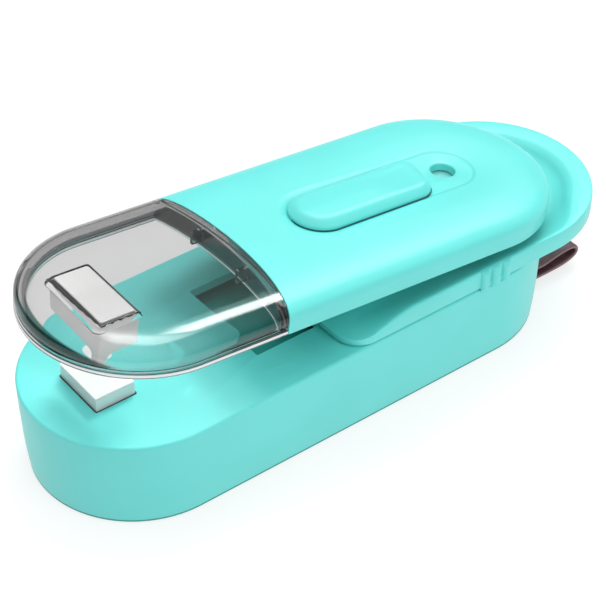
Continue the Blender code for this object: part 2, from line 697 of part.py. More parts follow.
def press_block(axis):
    x, half, top = PRESS_X, PRESS_HALF, PRESS_TOP
    block = put("press_block", boxes((x, (-half, half), (-1.9, top))), "steel", in_arm(), parent=axis)
    bevel = block.modifiers.new("edges", "BEVEL")
    bevel.width, bevel.segments = 0.4 * MM, 2
    inner = (x[0] + 0.5, x[1] - 0.5)
    pad = boxes((inner, (-half + 0.5, half - 0.5), (-2.4, -2.0)))
    put("silicone_pad", pad, "silicone", in_arm(), parent=axis)
    screen = boxes((inner, (-half + 0.5, half - 0.5), (top + 0.1, top + 0.3)))
    put("mesh_screen", screen, "steel", in_arm(), parent=axis)


def arm_electrics(axis):
    board = boxes(((10.8, 40.6), (-8.0, 10.6), (1.5, 2.3)))
    put("arm_board", board, "board_green", in_arm(), parent=axis)
    led = turned(((1.5, 0.0), (1.5, 0.3), (1.1, 0.6)), 12)
    put("indicator_led", led, "lens", in_arm(LENS_X, 0, 2.5), parent=axis)
    pane = turned(((2.9, 0.0), (2.9, 0.4)), 20)
    put("indicator_lens", pane, "lens", in_arm(LENS_X, 0, 3.3), parent=axis)
    case = boxes(((11.0, 24.0), (6.7, 10.2), (2.5, 4.4)))
    body = put("slide_switch", case, "black_plastic", in_arm(), parent=axis)
    channel = boxes(((11.7, 23.2), (6.0, 8.3), (3.0, 4.0)))
    cut(body, put("switch_channel", channel, None, in_arm(), parent=axis))


# ---------------------------------------------------------------- thumb slider


def thumb_slider(arm_axis):
    """The thumb slider, and the clip, the screw and the switch's knob that move with it."""
    axis = axis_empty("thumb_slider_axis", in_arm(*PIVOT_IN_ARM))
    axis.parent = arm_axis
    path = ((0.2, 5.7), (0.0, 5.9), (0.0, 6.9), (0.3, 7.45), (0.85, 7.85), (1.5, 8.05))
    pad = loft(rings(THUMB_X, THUMB_HALF, (THUMB_HALF, 3.0), path, 8))
    slider = put("thumb_slider", pad, "turquoise", in_arm(), parent=axis)
    stem_x = (6.6, 18.2)
    fuse(slider, put("slider_stem", boxes((stem_x, (-1.7, 1.7), (4.45, 6.2))), None, in_arm(), parent=axis))
    screw_x = sum(stem_x) / 2
    cut(slider, put("slider_bore", peg(0.8, 4, 7, 12), None, in_arm(screw_x), parent=axis))
    plate = boxes(((7.0, 17.8), (-4.0, 4.0), (3.5, 4.3)))
    clip = put("slider_clip", plate, "black_plastic", in_arm(), parent=axis)
    fingers = boxes(((11.2, 11.9), (3.5, 6.3), (2.9, 4.2)), ((15.1, 15.8), (3.5, 6.3), (2.9, 4.2)))
    fuse(clip, put("clip_fork", fingers, None, in_arm(), parent=axis))
    cut(clip, put("clip_hole", peg(0.9, 3, 5, 12), None, in_arm(screw_x), parent=axis))
    screw("slider_screw", in_arm(screw_x, 0, 3.4), 3.0, (1.5, 0.6), parent=axis, shank=0.55)
    knob = boxes(((12.3, 14.7), (4.9, 8.0), (3.2, 3.8)))
    put("switch_knob", knob, "silicone", in_arm(), parent=axis)


# ---------------------------------------------------------------- strap


def strap_line():
    """The strap's centre line from its pin out, round its tip and back, as (x, z)."""
    x, z = STRAP_PIN[0], STRAP_PIN[2]
    round_pin = 0.8 + 0.15 + STRAP_THICK / 2
    start = []
    for degrees in (270, 225, 180, 135, 90):
        a = math.radians(degrees)
        start.append((x + round_pin * math.cos(a), z + round_pin * math.sin(a)))
    out = [(56.0, 3.65), (58.6, 3.3), (60.6, 3.65), (62.6, 4.3), (64.6, 4.6), (66.4, 4.45), (68.0, 4.0)]
    back = [(68.95, 3.3), (68.5, 2.65), (66.6, 2.1), (64.3, 1.35), (61.4, 0.95), (57.8, 0.95), (55.4, 1.25)]
    return start + out + back


def strap():
    axis = axis_empty("strap_axis", STRAP_PIN)
    line = strap_line()
    count = len(line)
    bm = bmesh.new()
    rows = []
    for i, (x, z) in enumerate(line):
        before, after = line[i - 1], line[(i + 1) % count]
        along = Vector((after[0] - before[0], after[1] - before[1])).normalized()
        out = Vector((-along.y, along.x)) * STRAP_THICK / 2
        row = []
        for side, sign in ((-1, 1), (1, 1), (1, -1), (-1, -1)):
            place = (x + sign * out.x - STRAP_PIN[0], side * STRAP_HALF, z + sign * out.y - STRAP_PIN[2])
            row.append(bm.verts.new(place))
        rows.append(row)
    for i, row in enumerate(rows):
        after = rows[(i + 1) % count]
        for k in range(4):
            m = (k + 1) % 4
            bm.faces.new((row[k], row[m], after[m], after[k]))
    bmesh.ops.recalc_face_normals(bm, faces=bm.faces)
    put("strap_loop", bm, "leather", parent=axis)
    put("strap_pin", peg(0.8, -11.4, 11.4, 12), "screw_steel", STRAP_PIN, (-90, 0, 0))


def main():
    clear_scene()
    base_housing()
    bottom_cover()
    battery_door()
    battery_tray()
    batteries()
    slide_guide()
    circuit_board()
    heater()
    leads()
    hinge()
    strap()
    lock_slide(axis_empty("lock_slide_axis", (0, 0, 0)))
    arm_axis = axis_empty("arm_axis", PIVOT, ARM_OPEN)
    arm_shell(arm_axis)
    clear_head(arm_axis)
    arm_bottom_plate(arm_axis)
    hinge_spring(arm_axis)
    press_block(arm_axis)
    arm_electrics(arm_axis)
    thumb_slider(arm_axis)


main()
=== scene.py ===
"""The looks of the handheld bag heat sealer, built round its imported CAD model.

Shapes are drawn in millimetres: the base's, the slide's and the strap's in the row frame, the
arm's in the arm's own frame, where x and y are as when the arm is shut and z is above its
bottom face. solid() takes both to metres in the row frame.
"""

import json
import math

import bmesh
import bpy
from mathutils import Matrix, Vector

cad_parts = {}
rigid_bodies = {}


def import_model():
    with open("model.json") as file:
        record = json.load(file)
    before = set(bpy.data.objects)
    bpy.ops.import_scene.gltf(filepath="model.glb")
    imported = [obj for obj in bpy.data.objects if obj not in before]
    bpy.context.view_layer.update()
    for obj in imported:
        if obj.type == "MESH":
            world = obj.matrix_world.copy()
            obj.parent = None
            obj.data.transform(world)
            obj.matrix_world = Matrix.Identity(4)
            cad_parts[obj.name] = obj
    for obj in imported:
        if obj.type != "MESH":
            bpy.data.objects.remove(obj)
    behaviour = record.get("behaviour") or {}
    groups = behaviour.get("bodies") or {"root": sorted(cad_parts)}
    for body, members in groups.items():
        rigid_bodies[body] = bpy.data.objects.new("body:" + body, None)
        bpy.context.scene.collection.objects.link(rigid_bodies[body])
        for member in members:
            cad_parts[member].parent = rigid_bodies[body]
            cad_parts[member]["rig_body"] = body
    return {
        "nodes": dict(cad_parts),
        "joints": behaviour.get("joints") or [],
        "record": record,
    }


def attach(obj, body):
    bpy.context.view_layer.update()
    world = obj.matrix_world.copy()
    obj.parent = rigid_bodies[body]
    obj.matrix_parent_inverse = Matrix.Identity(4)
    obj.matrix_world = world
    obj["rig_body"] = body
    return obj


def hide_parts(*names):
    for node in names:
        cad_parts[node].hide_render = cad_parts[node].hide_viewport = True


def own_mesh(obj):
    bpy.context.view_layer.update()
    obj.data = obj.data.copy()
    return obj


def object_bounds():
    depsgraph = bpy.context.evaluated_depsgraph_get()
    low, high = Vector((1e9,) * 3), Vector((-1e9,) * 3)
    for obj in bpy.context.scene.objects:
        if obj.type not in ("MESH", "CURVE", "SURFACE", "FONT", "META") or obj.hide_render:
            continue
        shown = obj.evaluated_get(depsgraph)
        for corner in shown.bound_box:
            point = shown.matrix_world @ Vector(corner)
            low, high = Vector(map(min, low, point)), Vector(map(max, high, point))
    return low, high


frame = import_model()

CAD_BOX = [list(corner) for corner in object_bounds()]
MM = 0.001
ROW = Matrix.Identity(4)


# ---------------------------------------------------------------- the frame's sizes


def extent(node, space=ROW):
    """Lowest and highest corner of a CAD node in millimetres, in the row frame or the arm's."""
    back = space.inverted()
    points = [back @ (vertex.co / MM) for vertex in frame["nodes"][node].data.vertices]
    low = Vector([min(p[i] for p in points) for i in range(3)])
    high = Vector([max(p[i] for p in points) for i in range(3)])
    return low, high


JOINTS = {joint["name"]: joint for joint in frame["joints"]}
SLOTS = {part["node"]: part["material_slot"] for part in frame["record"]["subparts"]}

PIVOT = Vector(JOINTS["arm_hinge"]["pos_m"]) / MM
SLIDING = JOINTS["thumb_slide"]["axis"]
PIVOT_IN_ARM = Vector((46.0, 0.0, 2.2))
TILT = math.atan2(-SLIDING[2], SLIDING[0])
ARM = (
    Matrix.Translation(PIVOT)
    @ Matrix.Rotation(TILT, 4, "Y")
    @ Matrix.Translation(-PIVOT_IN_ARM)
)

BASE_HIGH = extent("base_housing")[1]
REAR, HALF, BASE_HEIGHT = BASE_HIGH
DECK = 1.8
WALL = 2.0
FOOT = 0.34
STRAP_NOTCH = ((50.0, 62.0), (-10.5, 10.5))

SLIDE_LOW, SLIDE_HIGH = extent("lock_slide")
SLIDE_X = (SLIDE_LOW.x, SLIDE_HIGH.x)
SLIDE_BOTTOM = BASE_HEIGHT + 0.3
SLIDE_FLOOR = 21.1
SLIDE_RIM = 23.8
SLIDE_CORNER = 5.5
SLIDE_TRAVEL = JOINTS["lock_slide"]["range_m"][1] / MM
RUNNER_LOW, RUNNER_HIGH = extent("slide_retainer")
BLOCK_LOW, BLOCK_HIGH = extent("heater_film")

HEAD_LOW = extent("clear_head", ARM)[0]
SHELL_HIGH = extent("arm_shell", ARM)[1]
ARM_X = (HEAD_LOW.x, SHELL_HIGH.x)
ARM_HALF = SHELL_HIGH.y
ARM_HEIGHT = SHELL_HIGH.z
ARM_WALL_HEIGHT = 2.6
ARM_SKIN = 1.7
CROWN_POWERS = (5.57, 2.72)  # of the superellipse across the arm's top
SHELL_CEILING = 4.7
HEAD_CEILING = 4.95
SEAM_X = -14.0
SEAM_BOW = 3.15

THUMB_LOW, THUMB_HIGH = extent("thumb_slider", ARM)
THUMB_TRAVEL = JOINTS["thumb_slide"]["range_m"][1] / MM
TRACK_END = 43.5
TRACK_FLOOR = 5.6
LENS_LOW, LENS_HIGH = extent("indicator_lens", ARM)
LENS_X = (LENS_LOW.x + LENS_HIGH.x) / 2
LENS_HOLE = 2.5

PRESS_LOW, PRESS_HIGH = extent("press_block", ARM)
PLATE_TOP = extent("mesh_screen", ARM)[1].z


# ---------------------------------------------------------------- material nodes


WAVE_APART = math.tau / 20  # how far apart a wave texture's bands are at scale 1


class Tree:
    """Short ways to add nodes to a material's node tree, or the world's."""

    def __init__(self, tree):
        self.nodes, self.links = tree.nodes, tree.links

    def feed(self, socket, value):
        if isinstance(value, bpy.types.NodeSocket):
            self.links.new(value, socket)
        else:
            socket.default_value = value

    def node(self, kind, settings=None, **inputs):
        made = self.nodes.new(kind)
        for key, value in (settings or {}).items():
            setattr(made, key, value)
        for socket, value in inputs.items():
            self.feed(made.inputs[socket.replace("_", " ")], value)
        return made

    def math(self, operation, *values):
        made = self.node("ShaderNodeMath", {"operation": operation})
        for socket, value in zip(made.inputs, values):
            self.feed(socket, value)
        return made.outputs[0]

    def dot(self, vector, direction):
        made = self.node("ShaderNodeVectorMath", {"operation": "DOT_PRODUCT"})
        self.feed(made.inputs[0], vector)
        self.feed(made.inputs[1], direction)
        return made.outputs["Value"]

    def span(self, value, low, high, start=0.0, end=1.0, kind="LINEAR"):
        """value from start..end, spread over low..high."""
        ends = {"From_Min": start, "From_Max": end, "To_Min": low, "To_Max": high}
        made = self.node("ShaderNodeMapRange", {"interpolation_type": kind}, Value=value, **ends)
        return made.outputs["Result"]


class Finish(Tree):
    """A Principled material, and short ways to add texture to it."""

    def __init__(self, name, colour, roughness, metallic=0.0, **sockets):
        self.material = bpy.data.materials.new(name)
        self.material.use_nodes = True
        super().__init__(self.material.node_tree)
        self.shader = self.nodes["Principled BSDF"]
        self.shader.inputs["Base Color"].default_value = (*colour, 1.0)
        self.shader.inputs["Roughness"].default_value = roughness
        self.shader.inputs["Metallic"].default_value = metallic
        for socket, value in sockets.items():
            self.shader.inputs[socket.replace("_", " ")].default_value = value
        self.material.diffuse_color = (*colour, 1.0)
        self.place = self.node("ShaderNodeTexCoord").outputs["Object"]

    def noise(self, size, detail=2.0, stretch=(1, 1, 1)):
        """Noise whose features are about size millimetres across."""
        mapped = self.node("ShaderNodeMapping", Vector=self.place, Scale=stretch)
        sizes = {"Scale": 1.0 / (size * MM), "Detail": detail}
        texture = self.node("ShaderNodeTexNoise", Vector=mapped.outputs["Vector"], **sizes)
        return texture.outputs["Fac"]

    def bands(self, axis, apart):
        """Soft bands across an axis, this many millimetres apart."""
        scale = WAVE_APART / (apart * MM)
        texture = self.node(
            "ShaderNodeTexWave", {"bands_direction": axis}, Vector=self.place, Scale=scale
        )
        return texture.outputs["Fac"]

    def normal(self):
        return self.node("ShaderNodeNewGeometry").outputs["Normal"]

    def blend(self, factor, first, second):
        mixed = self.node("ShaderNodeMix", {"data_type": "RGBA"})
        for i, value in ((0, factor), (6, first), (7, second)):
            self.feed(mixed.inputs[i], (*value, 1.0) if isinstance(value, tuple) else value)
        return mixed.outputs[2]

    def colour(self, value):
        self.feed(self.shader.inputs["Base Color"], value)

    def roughness(self, value):
        self.feed(self.shader.inputs["Roughness"], value)

    def bump(self, height, depth):
        """Bump of this depth in millimetres."""
        bumped = self.node("ShaderNodeBump", Strength=1.0, Distance=depth * MM, Height=height)
        self.feed(self.shader.inputs["Normal"], bumped.outputs["Normal"])


def moulded(name, colour, roughness, grain=0.25, drift=0.05, depth=0.006):
    """Moulded plastic: a fine grain, with colour and gloss drifting slightly along the part."""
    made = Finish(name, colour, roughness)
    darker = tuple(c * (1 - drift) for c in colour)
    lighter = tuple(min(c * (1 + drift), 1.0) for c in colour)
    made.colour(made.blend(made.span(made.noise(14.0, 1.0), 0.0, 1.0, 0.3, 0.7), darker, lighter))
    fine = made.noise(grain, 3.0)
    made.roughness(made.span(fine, roughness - 0.04, roughness + 0.04, 0.3, 0.7))
    made.bump(fine, depth)
    return made.material


# name: (colour, roughness, other settings). The second turquoise is the same plastic darkened as
# painted shade, for the pan under the deck's slot and the ring under the base's bottom edge, and
# the dark teal after it is a strip of painted shade for the gap round the thumb slider.
MOULDED = {
    "turquoise": ((0.148, 0.755, 0.72), 0.38, {"drift": 0.02}),
    "turquoise_deep": ((0.035, 0.36, 0.32), 0.5, {"drift": 0.02}),
    "gap_shade": ((0.008, 0.085, 0.09), 0.6, {"drift": 0.1}),
    "silicone": ((0.82, 0.81, 0.78), 0.55, {"grain": 0.4, "drift": 0.03, "depth": 0.01}),
    "black_plastic": ((0.03, 0.03, 0.03), 0.5, {"drift": 0.2}),
    "rubber": ((0.004, 0.004, 0.0045), 0.8, {"drift": 0.2}),
    "wire_red": ((0.60, 0.03, 0.03), 0.42, {"grain": 0.5, "drift": 0.1}),
    "wire_black": ((0.02, 0.02, 0.02), 0.42, {"grain": 0.5, "drift": 0.1}),
    "lens": ((0.20, 0.60, 0.58), 0.35, {"grain": 0.8, "drift": 0.03, "depth": 0.004}),
}

CLEAR_FACE = (0.94, 0.93, 0.93)
CLEAR_EDGE = (0.08, 0.088, 0.088)
# Painted shade: the front-left and far walls of the clear nose are tinted this dark teal, for the
# dark surroundings seen through and in them.
CLEAR_NOSE_SHADE = (0.015, 0.06, 0.052)
NOSE_WAY = (-0.9, 0.42, -0.3)  # where the nose's darker side faces
# Painted highlight: a whiter, less clear line along the head's rim at these heights, standing for
# a reflection there. Over it is a painted dark line of shade.
RIM_HIGHLIGHT = (0.95, 0.94, 0.95)
RIM_HIGHLIGHT_AT = (0.35, 0.9)  # in millimetres above the arm's underside
RIM_SHADE = (0.04, 0.04, 0.045)
RIM_SHADE_AT = (0.95, 1.3)
LINE_EDGE = 0.06
SMOKE, SMOKE_DENSITY = (0.5, 0.497, 0.495), 290.0


def clear():
    """Smoky clear plastic, darker where it is seen along its surface.

    Its rim has a painted highlight line, whiter and less clear, with a painted shade line over
    it, and the front-left and far walls of its nose are tinted darker as painted shade. Shadow
    rays pass through it, so that the lamps light what is inside.
    """
    made = Finish("clear", CLEAR_FACE, 0.02, Transmission_Weight=1.0, IOR=1.49)
    normal = made.normal()
    slant = made.node("ShaderNodeLayerWeight", Blend=0.5).outputs["Facing"]
    height = made.dot(made.place, ARM.to_3x3() @ Vector((0, 0, 1)))
    origin = ARM.inverted().translation.z

    def line(low, high):
        """1 between these heights above the arm's underside, and 0 elsewhere."""
        edges = []
        for z, levels in ((low, (0.0, 1.0)), (high, (1.0, 0.0))):
            start, end = (z - LINE_EDGE - origin) * MM, (z + LINE_EDGE - origin) * MM
            edges.append(made.span(height, *levels, start, end))
        return made.math("MULTIPLY", *edges)

    tint = made.blend(made.span(slant, 0.0, 1.0, 0.5, 0.95), CLEAR_FACE, CLEAR_EDGE)
    # painted shade on the nose's front-left and far walls
    nose = made.span(made.dot(normal, NOSE_WAY), 0.0, 1.0, 0.32, 0.42)
    tint = made.blend(nose, tint, CLEAR_NOSE_SHADE)
    # painted shade line along the rim, and under it a painted highlight line
    tint = made.blend(line(*RIM_SHADE_AT), tint, RIM_SHADE)
    rim_highlight = line(*RIM_HIGHLIGHT_AT)
    made.colour(made.blend(rim_highlight, tint, RIM_HIGHLIGHT))
    made.feed(made.shader.inputs["Transmission Weight"], made.span(rim_highlight, 1.0, 0.15))
    made.roughness(made.span(made.noise(3.0, 2.0), 0.0, 0.02, 0.3, 0.7))
    made.bump(made.noise(9.0, 1.0), 0.01)

    level = made.math("ABSOLUTE", made.dot(normal, (0.0, 0.0, 1.0)))
    shade = made.span(level, 1.4, 1.52, 0.4, 0.95)
    through = made.node("ShaderNodeBsdfTransparent", Color=shade)
    shadow = made.node("ShaderNodeLightPath").outputs["Is Shadow Ray"]
    mixed = made.node("ShaderNodeMixShader", Fac=shadow)
    made.feed(mixed.inputs[1], made.shader.outputs["BSDF"])
    made.feed(mixed.inputs[2], through.outputs["BSDF"])
    smoke = made.node("ShaderNodeVolumeAbsorption", Color=(*SMOKE, 1.0), Density=SMOKE_DENSITY)
    output = made.nodes["Material Output"]
    made.feed(output.inputs["Surface"], mixed.outputs["Shader"])
    made.feed(output.inputs["Volume"], smoke.outputs["Volume"])
    return made.material


def white_film():
    """Non-stick film on glass cloth: a fine plain weave under a smooth white skin."""
    made = Finish("white_film", (0.93, 0.93, 0.88), 0.42)
    weave = made.math("MAXIMUM", made.bands("X", 0.434), made.bands("Y", 0.434))
    made.colour(made.blend(weave, (0.91, 0.91, 0.895), (0.95, 0.95, 0.94)))
    made.bump(weave, 0.006)
    return made.material


def brushed(name, colour, roughness, direction=(1, 12, 12)):
    """Metal with fine brush marks along one axis."""
    made = Finish(name, colour, roughness, 1.0)
    marks = made.noise(1.6, 4.0, direction)
    made.roughness(made.span(marks, roughness - 0.07, roughness + 0.10, 0.3, 0.7))
    made.colour(made.blend(marks, tuple(c * 0.88 for c in colour), colour))
    made.bump(marks, 0.004)
    return made.material


def leather():
    """Brown leather: pebbled grain with fine pores, and paler along its cut edges."""
    made = Finish("leather", (0.14, 0.075, 0.08), 0.5)
    cells = made.node(
        "ShaderNodeTexVoronoi",
        {"feature": "SMOOTH_F1"},
        Vector=made.place,
        Scale=1.0 / (0.55 * MM),
    )
    pores = made.noise(0.16, 4.0)
    tone = made.span(made.noise(4.0, 2.0), 0.0, 1.0, 0.3, 0.7)
    face = made.blend(tone, (0.105, 0.045, 0.052), (0.175, 0.090, 0.10))
    split = made.node("ShaderNodeSeparateXYZ", Vector=made.normal())
    aside = made.math("ABSOLUTE", split.outputs["Y"])
    edge = made.span(aside, 0.0, 0.8, 0.5, 0.9)
    made.colour(made.blend(edge, face, (0.27, 0.165, 0.18)))
    made.roughness(made.span(pores, 0.42, 0.62, 0.3, 0.7))
    made.bump(made.math("MULTIPLY_ADD", pores, 0.3, cells.outputs["Distance"]), 0.06)
    return made.material


def circuit():
    """A green board: solder mask over faint copper tracks."""
    made = Finish("board_green", (0.02, 0.18, 0.08), 0.4)
    bricks = made.node(
        "ShaderNodeTexBrick",
        {"offset": 0.37, "squash": 1.3},
        Vector=made.place,
        Scale=1.0 / (6.0 * MM),
        Mortar_Size=0.03,
    ).outputs["Fac"]
    made.colour(made.blend(bricks, (0.015, 0.15, 0.065), (0.05, 0.30, 0.13)))
    made.bump(bricks, 0.03)
    return made.material


def cell_sleeve():
    """A printed sleeve with a paler band towards one end, without any lettering."""
    made = Finish("cell_sleeve", (0.10, 0.11, 0.13), 0.3)
    band = made.span(made.bands("X", 51.46), 0.0, 1.0, 0.7, 0.72)
    made.colour(made.blend(band, (0.05, 0.055, 0.06), (0.55, 0.38, 0.14)))
    made.roughness(made.span(made.noise(0.6), 0.24, 0.36, 0.3, 0.7))
    return made.material


def satin():
    """Pale bead-blasted metal, dull enough to show its own colour."""
    made = Finish("satin", (0.80, 0.80, 0.795), 0.42, 0.1)
    grain = made.noise(0.12, 3.0)
    made.colour(made.blend(grain, (0.77, 0.77, 0.765), (0.83, 0.83, 0.825)))
    made.roughness(made.span(grain, 0.36, 0.48, 0.3, 0.7))
    made.bump(grain, 0.004)
    return made.material


def perforated():
    """Pale satin metal with rows of fine pin holes, whose shade is painted darker."""
    made = Finish("perforated", (0.95, 0.95, 0.945), 0.4, 0.04)
    apart = 0.55
    mapped = made.node("ShaderNodeMapping", Vector=made.place, Scale=(1 / (apart * MM),) * 3)
    split = made.node("ShaderNodeSeparateXYZ", Vector=mapped.outputs["Vector"])
    rows = [
        made.math("SINE", made.math("MULTIPLY", split.outputs[axis], math.tau))
        for axis in ("X", "Y")
    ]
    hole = made.span(made.math("MULTIPLY", *rows), 0.0, 1.0, 0.35, 0.75)
    # painted shade: the pin holes are painted darker, for the shade inside them
    made.colour(made.blend(hole, (0.79, 0.79, 0.785), (0.66, 0.66, 0.66)))
    made.bump(made.span(hole, 1.0, 0.0), 0.03)
    return made.material


FINISHES = {name: moulded(name, *row[:2], **row[2]) for name, row in MOULDED.items()}
FINISHES |= {
    "clear": clear(),
    "white_film": white_film(),
    "steel": brushed("steel", (0.80, 0.80, 0.79), 0.24),
    "screw_steel": brushed("screw_steel", (0.55, 0.55, 0.56), 0.32, (6, 6, 1)),
    "leather": leather(),
    "board_green": circuit(),
    "brass": brushed("brass", (0.72, 0.52, 0.22), 0.28),
    "cell_sleeve": cell_sleeve(),
    "perforated": perforated(),
    "satin": satin(),
}


# ---------------------------------------------------------------- mesh tools


def arc(centre_x, centre_y, radius, start, end, steps):
    angles = [math.radians(start + (end - start) * i / steps) for i in range(steps + 1)]
    return [(centre_x + radius * math.cos(a), centre_y + radius * math.sin(a)) for a in angles]


def end_arcs(x, half, radius, side, inset, steps):
    """The rounded end of an outline at x: one half circle, or two corners."""
    radius = max(radius - inset, 0.05)
    half -= inset
    middle = x - side * (inset + radius)
    first = 0 if side > 0 else 180
    spread = half - radius
    if spread < 1e-6:
        return arc(middle, 0, radius, first - 90, first + 90, 2 * steps)
    return arc(middle, -side * spread, radius, first - 90, first, steps) + arc(
        middle, side * spread, radius, first, first + 90, steps
    )


def outline(x, half, radii, inset, steps):
    """A rectangle with rounded ends, counter-clockwise from above."""
    rear = end_arcs(x[1], half, radii[1], 1, inset, steps)
    return rear + end_arcs(x[0], half, radii[0], -1, inset, steps)


def divided(points, longest, pieces):
    """The same closed outline, with each side longer than this cut into pieces."""
    found = []
    for start, end in zip(points, points[1:] + points[:1]):
        count = pieces if math.dist(start, end) > longest else 1
        for k in range(count):
            found.append(tuple(a + (b - a) * k / count for a, b in zip(start, end)))
    return found


def rings(x, half, radii, path, steps):
    """One ring of points for each (inset, z) of path, in from the same outline."""
    return [
        [(px, py, z) for px, py in outline(x, half, radii, inset, steps)] for inset, z in path
    ]


def fillet(inset, z, radius, start, end, steps):
    """A quarter turn of a profile, as (inset, z) points round a centre at (inset, z)."""
    turn = [math.radians(start + (end - start) * i / steps) for i in range(steps + 1)]
    return [(inset - radius * math.cos(a), z + radius * math.sin(a)) for a in turn]


def solid(name, points, faces, finish=None, space=ROW, sharp=35):
    """An object of a mesh drawn in millimetres, in the row frame or the arm's."""
    mesh = bpy.data.meshes.new(name)
    mesh.from_pydata([(space @ Vector(p)) * MM for p in points], [], faces)
    repair = bmesh.new()
    repair.from_mesh(mesh)
    bmesh.ops.remove_doubles(repair, verts=repair.verts, dist=0.002 * MM)
    bmesh.ops.recalc_face_normals(repair, faces=repair.faces)
    repair.to_mesh(mesh)
    repair.free()
    obj = bpy.data.objects.new(name, mesh)
    bpy.context.scene.collection.objects.link(obj)
    if finish:
        mesh.materials.append(FINISHES[finish])
    shade(obj, sharp)
    return obj


def shade(obj, sharp=35):
    obj.data.shade_smooth()
    obj.data.set_sharp_from_angle(angle=math.radians(sharp))


def loft(name, rows, finish=None, space=ROW, sharp=35, paired=None):
    """A closed solid through rings of points, capped at both ends.

    With paired, the last ring is symmetrical, point i facing point paired - i, and its cap is a
    strip of four-sided faces.
    """
    count = len(rows[0])
    last = (len(rows) - 1) * count
    faces = [tuple(range(count))]
    if paired is None:
        faces.append(tuple(range(last, last + count)))
    else:
        halves = range((paired + 1) // 2, (paired + count) // 2 + 1)
        ends = [(i, (paired - i) % count) for i in halves]
        for (a, b), (c, d) in zip(ends, ends[1:]):
            faces.append(tuple(dict.fromkeys(last + i for i in (a, c, d, b))))
    faces += strips(len(rows) - 1, count, len(rows))
    return solid(name, [p for row in rows for p in row], faces, finish, space, sharp)


def tube(name, rows, finish, sharp=35):
    """A closed ring-shaped solid, whose rows of points follow each other round its cut."""
    faces = strips(len(rows), len(rows[0]), len(rows))
    return solid(name, [p for row in rows for p in row], faces, finish, sharp=sharp)


def strips(layers, count, rows):
    """Four-sided faces from each of these closed rows of points to the next."""
    faces = []
    for r in range(layers):
        below, above = r * count, (r + 1) % rows * count
        for i in range(count):
            j = (i + 1) % count
            faces.append((below + i, below + j, above + j, above + i))
    return faces


def box(name, x, y, z, space=ROW):
    ring = [(x[0], y[0]), (x[1], y[0]), (x[1], y[1]), (x[0], y[1])]
    return loft(name, [[(px, py, pz) for px, py in ring] for pz in z], space=space)


def turned(name, x, y, profile, finish=None, space=ROW, sharp=35, steps=64):
    """A solid turned round the upright axis at x, y, through (radius, z) points."""
    rows = [[(px, py, z) for px, py in arc(x, y, r, 0, 360, steps)[:-1]] for r, z in profile]
    return loft(name, rows, finish, space, sharp)


def settle(obj, sharp=35):
    """Applies an object's modifiers, and removes what they used.

    Without an angle for sharp edges, the shading stays as the modifiers leave it.
    """
    helpers = [m.object for m in obj.modifiers if m.type == "BOOLEAN"]
    graph = bpy.context.evaluated_depsgraph_get()
    finished = bpy.data.meshes.new_from_object(obj.evaluated_get(graph))
    obj.modifiers.clear()
    obj.data = finished
    for helper in helpers:
        bpy.data.objects.remove(helper)
    if sharp is not None:
        shade(obj, sharp)
    return obj


def carve(obj, *cutters):
    return combine(obj, cutters, "DIFFERENCE")


def join(obj, *pieces):
    return combine(obj, pieces, "UNION")


def combine(obj, others, operation):
    for other in others:
        modifier = obj.modifiers.new(other.name, "BOOLEAN")
        modifier.operation = operation
        modifier.solver = "EXACT"
        modifier.object = other
    return settle(obj)


def finish_piece(obj, body, slot, *nodes):
    """Sets a piece on its body, in place of these CAD nodes."""
    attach(obj, body)
    if nodes:
        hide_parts(*nodes)
    return obj


# ---------------------------------------------------------------- base


def base_housing():
    deck_bottom, edge = BASE_HEIGHT - DECK, 0.55
    path = [(3.2, deck_bottom), (WALL, deck_bottom - 1.0), (WALL, FOOT), (1.6, FOOT)]
    path += [(0.95, FOOT), (0.88, FOOT + 0.08), (0.84, FOOT + 0.4), (0.72, 1.8)]
    path += [(0.48, 4.6), (0.3, 8.0), (0.12, 13.0)]
    path += fillet(edge, BASE_HEIGHT - edge, edge, 0, 90, 10)
    shape = (-REAR, REAR), HALF, (HALF, HALF)
    housing = loft("base_housing_skin", rings(*shape, path, 48), "turquoise")
    gap = 0.3
    well_x = (BLOCK_LOW.x - gap, BLOCK_HIGH.x + gap)
    runner_x = (RUNNER_LOW.x - SLIDE_TRAVEL - 1.3, RUNNER_HIGH.x + 0.5)
    carve(
        housing,
        flared_opening("block_well", well_x, BLOCK_HIGH.y + gap, 0.3),
        flared_opening("runner_opening", runner_x, 11.2, 0.15),
        box("post_opening", (43.9, 48.6), (-4.5, 4.5), (16, 21)),
        box("strap_notch", *STRAP_NOTCH, (-1.0, 7.9)),
    )
    finish_piece(housing, "base", "turquoise", "base_housing")
    # Painted shade: a darkened turquoise ring in the recess under the housing's bottom edge, drawn
    # as the dark line of shade there.
    cut = ((1.9, 0.03), (0.9, 0.03), (0.9, FOOT), (1.9, FOOT))
    shade_ring = tube("base_shade_ring", rings(*shape, cut, 48), "turquoise_deep")
    carve(shade_ring, box("shade_ring_notch", *STRAP_NOTCH, (-1.0, 1.0)))
    finish_piece(shade_ring, "base", "turquoise")


def flared_opening(name, x, half, radius):
    """A cutter through the deck whose top edge is slightly rounded."""
    lip = 0.08
    path = [(0.0, BASE_HEIGHT - 4.0), (0.0, BASE_HEIGHT - lip)]
    for a in (0.5, 1.0, 1.35):
        path.append((-lip * (1 - math.cos(a)), BASE_HEIGHT - lip + lip * math.sin(a)))
    path += [(-lip, BASE_HEIGHT), (-lip, BASE_HEIGHT + 1.0)]
    return loft(name, rings(x, half, (radius, radius), path, 4))


# ---------------------------------------------------------------- lock slide


def smooth_step(t):
    t = min(max(t, 0.0), 1.0)
    return t * t * (3 - 2 * t)


def slide_outline(inset):
    return divided(outline(SLIDE_X, HALF, (SLIDE_CORNER, HALF), inset, 48), HALF, 40)


